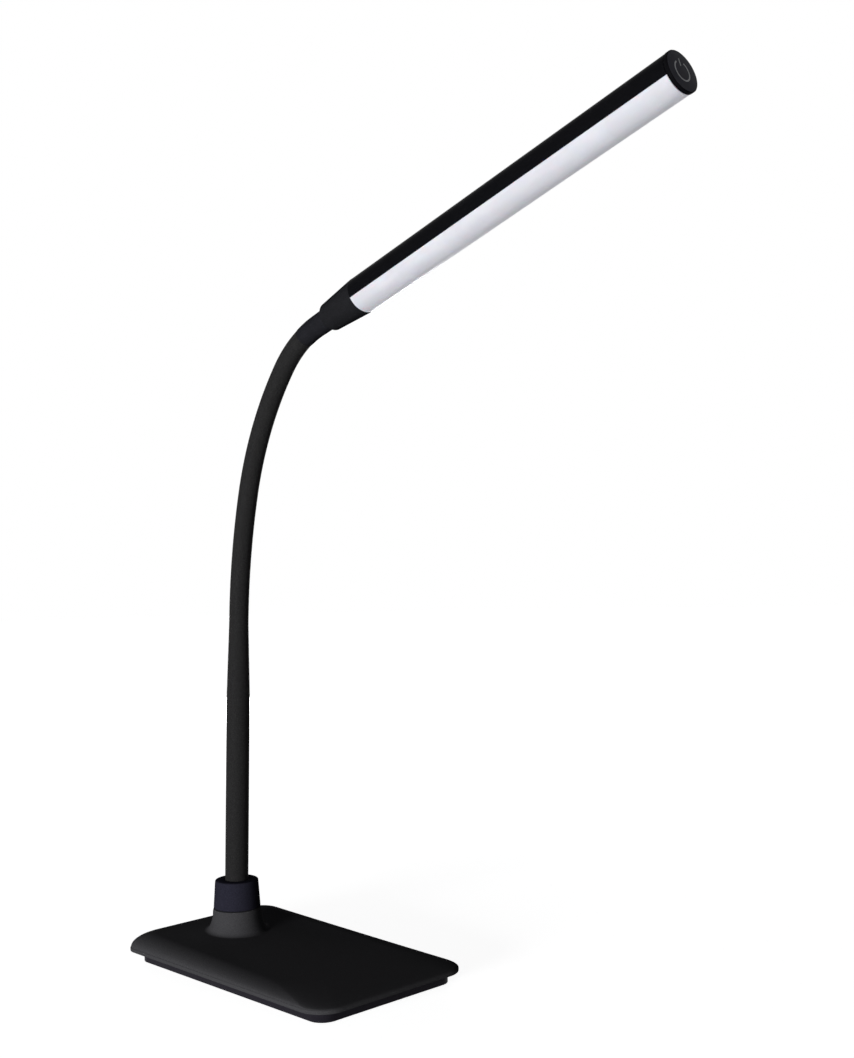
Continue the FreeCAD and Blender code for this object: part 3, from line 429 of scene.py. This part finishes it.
# Collar
# Satin plastic cup in a slightly bluer black, pushed down over the neck's fitting. A fine gap
# shows where it turns on the boss.
collar_bottom, collar_top, collar_edge = 27.3 * mm, 43.0 * mm, 0.8 * mm
collar_low_radius, collar_high_radius = 13.5 * mm, 12.5 * mm
collar_mouth_radius, collar_mouth_depth = 7.0 * mm, 38.7 * mm
collar_lower_edge, collar_mouth_edge = 0.25 * mm, 0.3 * mm
collar_cavity_radius, collar_cavity_top, collar_bore_radius = 10.1 * mm, 31.0 * mm, 7.9 * mm


def turned(name, points, steps=96, matrix=None, smooth_angle=40):
    """A closed shape turned about Z from (radius, height) corners, and then put in place."""
    bm = bmesh.new()
    verts = [bm.verts.new((r, 0, z)) for r, z in points]
    edges = [bm.edges.new(pair) for pair in zip(verts, verts[1:] + verts[:1])]
    bmesh.ops.spin(bm, geom=verts + edges, cent=(0, 0, 0), axis=(0, 0, 1), angle=2 * math.pi,
                   steps=steps, use_merge=True)
    bmesh.ops.remove_doubles(bm, verts=bm.verts, dist=1e-7)
    if matrix is not None:
        bmesh.ops.transform(bm, matrix=matrix, verts=bm.verts)
    return finished(bm, name, smooth_angle)


def quarter(centre_r, centre_z, radius, start, steps=5):
    """Points of a rounded edge: a quarter circle from the start angle, turning clockwise."""
    angles = [math.radians(start - 90 * i / steps) for i in range(steps + 1)]
    return [(centre_r + radius * math.cos(a), centre_z + radius * math.sin(a)) for a in angles]


collar_points = [(collar_cavity_radius, collar_bottom), (collar_cavity_radius, collar_cavity_top),
                 (collar_bore_radius, collar_cavity_top), (collar_bore_radius, collar_mouth_depth),
                 (collar_mouth_radius, collar_mouth_depth),
                 (collar_mouth_radius, collar_top - collar_mouth_edge),
                 (collar_mouth_radius + collar_mouth_edge, collar_top)]
collar_points += quarter(collar_high_radius - collar_edge, collar_top - collar_edge,
                         collar_edge, 90)
collar_points += quarter(collar_low_radius - collar_lower_edge, collar_bottom + collar_lower_edge,
                         collar_lower_edge, 0)
collar = turned("collar", collar_points, matrix=Matrix.Translation((neck_x, 0, 0)))
collar_plastic = polymer("collar_plastic", (0.018, 0.0175, 0.027), (0.029, 0.0285, 0.043), 0.42,
                         0.02 * mm, specular=0.0)
dress(collar, collar_plastic)
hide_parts("neck_collar")
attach(collar, "collar")

# Gooseneck
# Spiral-wound steel conduit with the lead inside it and a soft silicone sleeve drawn over it,
# thicker in its lower part. It bends anywhere and stays where it is put. Each layer is eight
# lengths, and each length lies over one pivot of the frame.
ferrule_top = 38.7 * mm
neck_lean, lean_radius, neck_straight = math.radians(2.4), 150.0 * mm, 146.4 * mm
bend_radii = (364.0 * mm, 178.0 * mm, 64.0 * mm)
bend_angles = tuple(math.radians(a) for a in (12.0, 24.7, 32.9))
neck_tail, cuff_length = 11.3 * mm, 23.5 * mm
first_pivot, link_pitch, pivot_count = 24.0 * mm, 41.0 * mm, 8
sleeve_radius, sleeve_foot_radius, sleeve_taper = 5.6 * mm, 6.7 * mm, 42.0 * mm
sleeve_bore, conduit_radius, conduit_bore, lead_radius = (r * mm for r in (4.6, 4.5, 2.5, 1.9))
strip_pitch, strip_groove = 2.4 * mm, 0.35 * mm
blend_margin = 2.6 * mm
conduit_below, conduit_above, lead_above = 7.7 * mm, 6.5 * mm, 16.5 * mm
tube_segments, lead_segments, bore_rings = 48, 24, 24

neck_runs = [(lean_radius * neck_lean, neck_lean), (neck_straight, 0.0)]
neck_runs += [(radius * angle, angle) for radius, angle in zip(bend_radii, bend_angles)]
neck_runs += [(neck_tail, 0.0)]
neck_length = sum(length for length, angle in neck_runs)
sleeve_end = neck_length - cuff_length
taper_end = sum(length for length, angle in neck_runs[:2])
stud_end = 12.5 * mm - ferrule_top
neck_bodies = ["collar"] + [f"link_{i}" for i in range(2, pivot_count + 1)] + ["head"]


def neck_at(distance):
    """The matrix that stands Z along the neck at a distance from the top of the lower ferrule."""
    point, lean = Vector((neck_x, 0, ferrule_top)), 0.0
    left = distance
    for length, angle in neck_runs:
        step = min(max(left, 0.0), length)
        turn = angle * step / length
        chord = step if angle == 0 else 2 * length / angle * math.sin(turn / 2)
        point += Vector((math.sin(lean + turn / 2), 0, math.cos(lean + turn / 2))) * chord
        lean += turn
        left -= step
    point += Vector((math.sin(lean), 0, math.cos(lean))) * (left if left > 0 else 0)
    point.z += min(distance, 0.0)
    return Matrix.Translation(point) @ Matrix.Rotation(lean, 4, "Y")


def steps_between(low, high, spacing):
    """Even marks from low to high, no further apart than the spacing."""
    count = max(1, math.ceil((high - low) / spacing - 1e-6))
    return [low + (high - low) * i / count for i in range(count + 1)]


def neck_tube(bm, marks, radius_at, segments):
    """The side of a tube along the neck: one circle, extruded from mark to mark."""
    start = bmesh.ops.create_circle(bm, cap_ends=False, segments=segments,
                                    radius=radius_at(marks[0]), matrix=neck_at(marks[0]))
    ring_verts = start["verts"]
    ring = list({e for v in ring_verts for e in v.link_edges})
    first, here = ring, marks[0]
    for there in marks[1:]:
        pulled = bmesh.ops.extrude_edge_only(bm, edges=ring)["geom"]
        ring = [g for g in pulled if isinstance(g, bmesh.types.BMEdge) and g.is_boundary]
        verts = [g for g in pulled if isinstance(g, bmesh.types.BMVert)]
        swell = Matrix.Scale(radius_at(there) / radius_at(here), 4)
        move = neck_at(there) @ swell @ neck_at(here).inverted()
        bmesh.ops.transform(bm, matrix=move, verts=verts)
        ring = [e for e in ring if all(v in verts for v in e.verts)]
        here = there
    return first, ring


def neck_piece(name, marks, outer_at, bore, segments=tube_segments):
    """A length of tube along the neck, or of solid cord where the bore is 0."""
    bm = bmesh.new()
    outer_first, outer_last = neck_tube(bm, marks, outer_at, segments)
    if bore:
        bore_marks = marks[::max(1, len(marks) // bore_rings)]
        if bore_marks[-1] != marks[-1]:
            bore_marks.append(marks[-1])
        inner_first, inner_last = neck_tube(bm, bore_marks, lambda d: bore, segments)
        bmesh.ops.bridge_loops(bm, edges=outer_first + inner_first)
        bmesh.ops.bridge_loops(bm, edges=outer_last + inner_last)
    else:
        bmesh.ops.contextual_create(bm, geom=outer_first)
        bmesh.ops.contextual_create(bm, geom=outer_last)
    return finished(bm, name, smooth_angle=50)


def sleeve_outside(distance):
    share = (distance - (taper_end - sleeve_taper)) / sleeve_taper
    eased = min(1.0, max(0.0, share))
    return sleeve_foot_radius + (sleeve_radius - sleeve_foot_radius) * eased


def strip_outside(distance):
    """The conduit's profile: a row of rounded turns of strip."""
    return conduit_radius - strip_groove * math.sin(math.pi * distance / strip_pitch) ** 8


def lead_outside(distance):
    return lead_radius


sleeve_silicone = polymer("sleeve_silicone", (0.017, 0.0165, 0.0168), (0.028, 0.0275, 0.0278), 0.45,
                          0.03 * mm, specular=0.004, grain_size=1800.0, mark_size=25.0)
conduit_steel = metal("conduit_steel", (0.3, 0.3, 0.3), (0.42, 0.42, 0.42), 0.35)
neck_layers = (
    ("sleeve", 0.0, sleeve_end, sleeve_outside, sleeve_bore, 1.0 * mm, sleeve_silicone,
     "sleeve_rubber"),
    ("conduit", -conduit_below, neck_length + conduit_above, strip_outside, conduit_bore,
     strip_pitch / 6, conduit_steel, "conduit_steel"),
    ("lead", stud_end, neck_length + lead_above, lead_outside, 0.0, 2.0 * mm, lead_pvc,
     "lead_insulation"),
)
for layer, start, end, outside, bore, spacing, material, record_slot in neck_layers:
    for pivot in range(pivot_count):
        middle = first_pivot + link_pitch * pivot
        low = start if pivot == 0 else middle - link_pitch / 2
        high = end if pivot == pivot_count - 1 else middle + link_pitch / 2
        length = neck_piece(f"{layer}_length_{pivot + 1}", steps_between(low, high, spacing),
                            outside, bore, lead_segments if layer == "lead" else tube_segments)
        dress(length, material)
        replaced = [f"neck_{layer}_{pivot + 1}"]
        if pivot == pivot_count - 1:
            replaced.append(f"neck_{layer}_{pivot + 2}")
        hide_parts(*replaced)
        bend_from = max(middle - link_pitch / 2, 0.0) + blend_margin
        bend_to = min(middle + link_pitch / 2, sleeve_end) - blend_margin
        lower = (neck_bodies[pivot], neck_at(bend_from).translation)
        upper = (neck_bodies[pivot + 1], neck_at(bend_to).translation)
        if pivot == pivot_count - 1:
            lower, upper = upper, lower
        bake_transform(length)

# Cuff
# Short soft rubber sleeve over the top of the neck, black with a trace of blue. It starts where
# the neck's own sleeve ends, and is pushed into the cone.
cuff_low_radius, cuff_high_radius, cuff_insert = 5.75 * mm, 6.1 * mm, 3.0 * mm
cuff_gap, cuff_edge_length, cuff_edge_drop, cuff_spacing = (v * mm for v in (0.1, 0.4, 0.3, 1.0))
cuff_start = sleeve_end + cuff_gap


def cuff_outside(distance):
    share = min(1.0, max(0.0, (distance - cuff_start) / (neck_length - cuff_start)))
    edge = min(1.0, (distance - cuff_start) / cuff_edge_length)
    rounded = cuff_edge_drop * (1 - math.sqrt(1 - (1 - edge) ** 2))
    return cuff_low_radius + (cuff_high_radius - cuff_low_radius) * share - rounded


cuff_marks = [cuff_start + share * cuff_edge_length for share in (0, 0.25, 0.5, 1)]
cuff_marks += steps_between(cuff_start + cuff_spacing, neck_length + cuff_insert, cuff_spacing)
cuff = neck_piece("cuff", cuff_marks, cuff_outside, sleeve_bore, segments=64)
cuff_rubber = polymer("cuff_rubber", (0.013, 0.013, 0.0155), (0.021, 0.021, 0.025), 0.48,
                      0.02 * mm, specular=0.0)
dress(cuff, cuff_rubber)
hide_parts("neck_cuff")
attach(cuff, "head")

# Head cone
# Turned plastic cone between neck and bar, satin black with a trace of blue, its small end softly
# rounded. A nut inside clamps the neck's fitting, and one screw holds the bar.
cone_length, cone_small_radius, cone_small_edge = 27.5 * mm, 8.0 * mm, 1.3 * mm
cone_large_radius, cone_mouth_edge = 10.15 * mm, 0.15 * mm
cone_cuff_clearance = 0.1 * mm
cone_cuff_bore = cuff_high_radius + cone_cuff_clearance
cone_socket_radius, cone_socket_depth = 8.2 * mm, 4.0 * mm
cone_chamber_radius, bulkhead_front, bulkhead_bore = 7.9 * mm, 17.0 * mm, 5.1 * mm
cone_hollow_radius, bulkhead_back, cone_hollow_end = 6.7 * mm, 19.0 * mm, 24.5 * mm
head_at = neck_at(neck_length + cone_length)
cone_profile = [(cone_cuff_bore, -cone_length)]
cone_profile += [(cone_small_radius + cone_small_edge * (math.sin(a) - 1),
                  -cone_length + cone_small_edge * (1 - math.cos(a)))
                 for a in (math.radians(d) for d in (0, 15, 30, 45, 60, 75, 90))]
cone_profile += [(cone_large_radius - cone_mouth_edge * 0.5, -cone_mouth_edge * 2),
                 (cone_large_radius - cone_mouth_edge, 0), (cone_socket_radius, 0),
                 (cone_socket_radius, -cone_socket_depth), (cone_chamber_radius, -bulkhead_front),
                 (bulkhead_bore, -bulkhead_front), (bulkhead_bore, -bulkhead_back),
                 (cone_hollow_radius, -bulkhead_back), (cone_hollow_radius, -cone_hollow_end),
                 (cone_cuff_bore, -cone_hollow_end)]
cone = turned("head_cone_skin", cone_profile, matrix=head_at)
cone_plastic = polymer("cone_plastic", (0.013, 0.013, 0.0145), (0.02, 0.02, 0.0225), 0.4,
                       0.02 * mm, specular=0.0)
dress(cone, cone_plastic)
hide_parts("head_cone")
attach(cone, "head")
dress_nodes(zinc_steel, "cone_screw", "board_screws")

# Bar housing
# Extruded aluminium with a gloss black coat: a round wall open below, a web for the light board
# and a screw port. Everything on the bar is made standing on its end, with X the top of the bar.
bar_radius, bar_length, housing_wall = 10.0 * mm, 211.6 * mm, 1.3 * mm
housing_half_angle = math.radians(104)
web_low, web_high, rib_low, rib_high, rib_width = (v * mm for v in (1.5, 2.7, 8.2, 8.9, 1.2))
port_height, port_bore, port_radius = 6.3 * mm, 1.1 * mm, 2.0 * mm
arc_steps, port_steps = 96, 32
bar_at = head_at @ Matrix.Rotation(math.pi, 4, "Z")


def wall_sector(bm, outer, inner, first, last, length, steps):
    """Part of a tube's wall between two angles from the top of the bar, drawn to its length."""
    spots = [bm.verts.new((r * math.cos(first), r * math.sin(first), 0)) for r in (inner, outer)]
    edge = bm.edges.new(spots)
    bmesh.ops.spin(bm, geom=spots + [edge], cent=(0, 0, 0), axis=(0, 0, 1), angle=last - first,
                   steps=steps, use_merge=False)
    faces = [f for f in bm.faces if all(abs(v.co.z) < 1e-9 for v in f.verts)]
    drawn = bmesh.ops.extrude_face_region(bm, geom=faces, use_keep_orig=True)["geom"]
    verts = [g for g in drawn if isinstance(g, bmesh.types.BMVert)]
    bmesh.ops.translate(bm, vec=(0, 0, length), verts=verts)


def block(bm, low, high):
    """A square-edged block between two corners."""
    size = [b - a for a, b in zip(low, high)]
    middle = [(a + b) / 2 for a, b in zip(low, high)]
    bmesh.ops.create_cube(bm, size=1.0, matrix=Matrix.Translation(middle)
                          @ Matrix.Diagonal((*size, 1)))


def housing_mesh():
    """The round wall, open below."""
    bm = bmesh.new()
    wall_sector(bm, bar_radius, bar_radius - housing_wall, -housing_half_angle,
                housing_half_angle, bar_length, arc_steps)
    return bm


def housing_inside_mesh():
    """The web across the bar, and the screw port on its rib under the top of the wall."""
    bm = bmesh.new()
    half_web = math.sqrt((bar_radius - housing_wall) ** 2 - web_high ** 2)
    block(bm, (web_low, -half_web, 0), (web_high, half_web, bar_length))
    block(bm, (rib_low, -rib_width / 2, 0), (rib_high, rib_width / 2, bar_length))
    rims = []
    for radius in (port_bore, port_radius):
        rims += bmesh.ops.create_circle(bm, cap_ends=False, segments=port_steps, radius=radius,
                                        matrix=Matrix.Translation((port_height, 0, 0)))["verts"]
    edges = list({e for v in rims for e in v.link_edges})
    ring = bmesh.ops.bridge_loops(bm, edges=edges)["faces"]
    drawn = bmesh.ops.extrude_face_region(bm, geom=ring, use_keep_orig=True)["geom"]
    verts = [g for g in drawn if isinstance(g, bmesh.types.BMVert)]
    bmesh.ops.translate(bm, vec=(0, 0, bar_length), verts=verts)
    return bm


def on_the_bar(bm, name, smooth_angle=40):
    bmesh.ops.transform(bm, matrix=bar_at, verts=bm.verts)
    return finished(bm, name, smooth_angle)


housing = on_the_bar(housing_mesh(), "housing")
housing_inside = on_the_bar(housing_inside_mesh(), "housing_web")
housing_gloss = polymer("housing_gloss", (0.004, 0.004, 0.005), (0.006, 0.006, 0.007), 0.16,
                        0.004 * mm, specular=0.003, mark_size=30.0, rougher=0.06)
for part in (housing, housing_inside):
    dress(part, housing_gloss)
    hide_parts("head_housing")
    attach(part, "head")

# Light board
# White-coated aluminium strip under the web, with a row of phosphor-yellow light chips, held up
# by three small screws.
board_white = polymer("board_white", (0.62, 0.62, 0.62), (0.7, 0.7, 0.7), 0.4, 0.01 * mm)
phosphor = polymer("phosphor", (0.75, 0.6, 0.12), (0.82, 0.68, 0.16), 0.35, 0.01 * mm)
dress_nodes(board_white, "led_board")
dress_nodes(phosphor, "leds")

# Diffuser
# Extruded frosted acrylic that closes the bar below, clipped in by two legs. Milky white, with a
# satin skin and light that spreads inside it.
# It also carries a faint, even bluish grey glow, painted light.
diffuser_wall, diffuser_leg, diffuser_seam = 1.4 * mm, 1.1 * mm, 0.4 * mm
leg_top, leg_root, leg_steps = math.radians(92), math.radians(112), 8
diffuser_edge = housing_half_angle + diffuser_seam / bar_radius


def diffuser_mesh():
    bm = bmesh.new()
    inner = bar_radius - diffuser_wall
    wall_sector(bm, bar_radius, inner, diffuser_edge, 2 * math.pi - diffuser_edge, bar_length,
                arc_steps)
    return bm


def diffuser_legs_mesh():
    bm = bmesh.new()
    inner = bar_radius - diffuser_wall
    for first, last in ((leg_top, leg_root), (-leg_root, -leg_top)):
        leg = bmesh.new()
        wall_sector(leg, inner, inner - diffuser_leg, first, last, bar_length,
                    leg_steps)
        mesh = bpy.data.meshes.new("leg")
        leg.to_mesh(mesh)
        leg.free()
        bm.from_mesh(mesh)
        bpy.data.meshes.remove(mesh)
    return bm


def frosted_white():
    material = bpy.data.materials.new("frosted_acrylic")
    material.use_nodes = True
    nodes, links = material.node_tree.nodes, material.node_tree.links
    surface = nodes["Principled BSDF"]
    surface.inputs["Specular IOR Level"].default_value = 0.35
    surface.inputs["Subsurface Weight"].default_value = 0.3
    surface.inputs["Subsurface Scale"].default_value = 2.0 * mm
    surface.inputs["Roughness"].default_value = 0.32
    # Painted light: a faint bluish grey glow, set below, brightens the diffuser evenly.
    surface.inputs["Emission Strength"].default_value = 1.0
    grain = nodes.new("ShaderNodeGroup")
    grain.node_tree = moulded_grain
    grain.inputs["Grain Size"].default_value = 1500.0
    grain.inputs["Mark Size"].default_value = 40.0
    colour = nodes.new("ShaderNodeMix")
    colour.data_type = "RGBA"
    colour.inputs["A"].default_value = (0.58, 0.58, 0.61, 1)
    colour.inputs["B"].default_value = (0.62, 0.62, 0.65, 1)
    links.new(grain.outputs["Marks"], colour.inputs["Factor"])
    links.new(colour.outputs["Result"], surface.inputs["Base Color"])
    surface.inputs["Emission Color"].default_value = (0.13, 0.13, 0.15, 1)
    bump = nodes.new("ShaderNodeBump")
    bump.inputs["Strength"].default_value = 0.3
    bump.inputs["Distance"].default_value = 0.01 * mm
    links.new(grain.outputs["Height"], bump.inputs["Height"])
    links.new(bump.outputs["Normal"], surface.inputs["Normal"])
    return material


frosted_acrylic = frosted_white()
diffuser = on_the_bar(diffuser_mesh(), "diffuser_shell")
diffuser_legs = on_the_bar(diffuser_legs_mesh(), "diffuser_legs")
for part in (diffuser, diffuser_legs):
    dress(part, frosted_acrylic)
    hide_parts("diffuser")
    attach(part, "head")

# Touch cap
# Moulded cap with an unbroken satin face and a gloss black rim, plugged into the end of the bar.
# The face's lighter, bluer grey is painted sheen over its real satin finish.
# A copper disc behind the face feels a finger, joined by a spring to the small board in the bar.
cap_seam, cap_thickness, cap_radius, cap_edge = 0.24 * mm, 2.0 * mm, 10.15 * mm, 0.5 * mm
pocket_radius, pocket_depth = 6.4 * mm, 0.5 * mm
plug_reach, plug_radius = 3.0 * mm, 7.4 * mm
cap_back, cap_face = bar_length + cap_seam, bar_length + cap_seam + cap_thickness
cap_back_edge, satin_and_sheen_from = 0.1 * mm, 0.9
cap_profile = [(0, cap_back + pocket_depth), (pocket_radius, cap_back + pocket_depth),
               (pocket_radius, cap_back - plug_reach), (plug_radius, cap_back - plug_reach),
               (plug_radius, cap_back), (cap_radius - cap_back_edge, cap_back),
               (cap_radius, cap_back + cap_back_edge)]
cap_profile += list(reversed(quarter(cap_radius - cap_edge, cap_face - cap_edge, cap_edge, 90)))
cap_profile += [(0, cap_face)]
cap = turned("touch_cap", cap_profile, matrix=bar_at)
# The face's lighter, bluer grey is painted sheen; the rim takes the housing's gloss black.
cap_plastic = polymer("cap_plastic", (0.036, 0.036, 0.048), (0.05, 0.05, 0.066), 0.35,
                      0.012 * mm, specular=0.015)
copper = metal("copper", (0.62, 0.3, 0.17), (0.75, 0.4, 0.24), 0.25)
dress(cap, cap_plastic)
cap.data.materials.append(housing_gloss)
# Faces that turn away from the bar's end form the rim and take the gloss black; the rest is the
# face with its painted sheen.
bar_axis = bar_at.to_3x3() @ Vector((0, 0, 1))
for face in cap.data.polygons:
    if face.normal.dot(bar_axis) < satin_and_sheen_from:
        face.material_index = 1
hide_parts("end_cap")
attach(cap, "head")
dress_nodes(copper, "touch_plate", "touch_spring")

# Power sign
# The plain power symbol, a broken ring and a bar, printed in pale grey ink on the cap's face.
sign_radius, sign_line, sign_gap = 4.75 * mm, 0.75 * mm, math.radians(32)
sign_bar_top, sign_bar_bottom, ink, sign_steps = 6.0 * mm, 2.4 * mm, 0.03 * mm, 64


def sign_mesh():
    bm = bmesh.new()
    wall_sector(bm, sign_radius + sign_line / 2, sign_radius - sign_line / 2, sign_gap,
                2 * math.pi - sign_gap, ink, sign_steps)
    block(bm, (sign_bar_bottom, -sign_line / 2, 0), (sign_bar_top, sign_line / 2, ink))
    bmesh.ops.translate(bm, vec=(0, 0, cap_face), verts=bm.verts)
    return bm


sign = on_the_bar(sign_mesh(), "power_sign")
grey_ink = polymer("grey_ink", (0.25, 0.26, 0.28), (0.32, 0.33, 0.35), 0.5, 0.01 * mm)
dress(sign, grey_ink)
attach(sign, "head")

# Floor and backdrop
# A plain white sweep. The camera and the gloss see it and the world behind it as plain white. The
# floor's glow is painted a little dimmer near the lamp, a painted shade around its foot, and its
# lit white keeps the lamp's faint shadow.
floor_radius, room_light = 4.0, 0.02
# The floor's glow is painted down to 0.9 near the lamp's foot, a painted shade, and rises to full
# white further out.
painted_shade_to, bright_from, painted_shade_glow = 0.25, 0.9, 0.9


def seen_directly(nodes, links):
    """1 for camera, glossy and transmission rays, and 0 for the rays that light the lamp."""
    ray = nodes.new("ShaderNodeLightPath")
    total = ray.outputs["Is Camera Ray"]
    for kind in ("Is Glossy Ray", "Is Transmission Ray"):
        either = nodes.new("ShaderNodeMath")
        either.operation = "MAXIMUM"
        links.new(total, either.inputs[0])
        links.new(ray.outputs[kind], either.inputs[1])
        total = either.outputs["Value"]
    return total


def sweep_white():
    """Plain white, lit from within for the rays that see it directly, the glow painted a little
    dimmer near the lamp as painted shade.
    """
    material = bpy.data.materials.new("sweep_white")
    material.use_nodes = True
    nodes, links = material.node_tree.nodes, material.node_tree.links
    surface = nodes["Principled BSDF"]
    surface.inputs["Base Color"].default_value = (0.9, 0.9, 0.9, 1)
    surface.inputs["Roughness"].default_value = 0.9
    surface.inputs["Specular IOR Level"].default_value = 0.0
    surface.inputs["Emission Strength"].default_value = 1.0
    glow = nodes.new("ShaderNodeMix")
    glow.data_type = "RGBA"
    glow.inputs["A"].default_value = (0, 0, 0, 1)
    place, distance = nodes.new("ShaderNodeTexCoord"), nodes.new("ShaderNodeVectorMath")
    distance.operation = "LENGTH"
    links.new(place.outputs["Object"], distance.inputs[0])
    # Painted shade: the glow is lower near the lamp and full further out.
    away = nodes.new("ShaderNodeMapRange")
    away.interpolation_type = "SMOOTHSTEP"
    away.inputs["From Min"].default_value = painted_shade_to
    away.inputs["From Max"].default_value = bright_from
    away.inputs["To Min"].default_value = painted_shade_glow
    links.new(distance.outputs["Value"], away.inputs["Value"])
    links.new(away.outputs["Result"], glow.inputs["B"])
    links.new(seen_directly(nodes, links), glow.inputs["Factor"])
    links.new(glow.outputs["Result"], surface.inputs["Emission Color"])
    return material


floor_bm = bmesh.new()
bmesh.ops.create_circle(floor_bm, cap_ends=True, segments=96, radius=floor_radius)
floor = finished(floor_bm, "floor")
dress(floor, sweep_white())

world = bpy.data.worlds.new("studio")
bpy.context.scene.world = world
world.use_nodes = True
sky_nodes, sky_links = world.node_tree.nodes, world.node_tree.links
sky = sky_nodes["Background"]
brightness = sky_nodes.new("ShaderNodeMapRange")
brightness.inputs["To Min"].default_value = room_light
brightness.inputs["To Max"].default_value = 1.0
sky_links.new(seen_directly(sky_nodes, sky_links), brightness.inputs["Value"])
sky_links.new(brightness.outputs["Result"], sky.inputs["Strength"])
sky.inputs["Color"].default_value = (1, 1, 1, 1)

# Studio lights
# A broad soft box low on the camera's left, a much weaker one low on its right, and one behind
# for the sides that the camera doesn't see. Nothing shines from above, so what faces up stays
# dark, as in the photograph.


def soft_box(name, place, target, width, height, power, colour):
    light = bpy.data.lights.new(name, "AREA")
    light.shape, light.size, light.size_y = "RECTANGLE", width, height
    light.energy, light.color = power, colour
    lamp = bpy.data.objects.new(name, light)
    lamp.location = place
    lamp.rotation_euler = (Vector(target) - Vector(place)).to_track_quat("-Z", "Y").to_euler()
    bpy.context.scene.collection.objects.link(lamp)


soft_box("left_box", (0.32, -1.4, 0.12), (0.05, 0, 0.14), 0.6, 0.22, 20.5, (0.98, 0.99, 1.0))
soft_box("right_box", (1.4, 0.3, 0.25), (0.05, 0, 0.2), 0.6, 0.4, 0.5, (1.0, 1.0, 1.0))
soft_box("back_box", (-1.1, 0.9, 0.14), (0, 0, 0.14), 0.9, 0.24, 8, (0.98, 0.98, 1.0))

bpy.context.scene.view_settings.view_transform = "Standard"
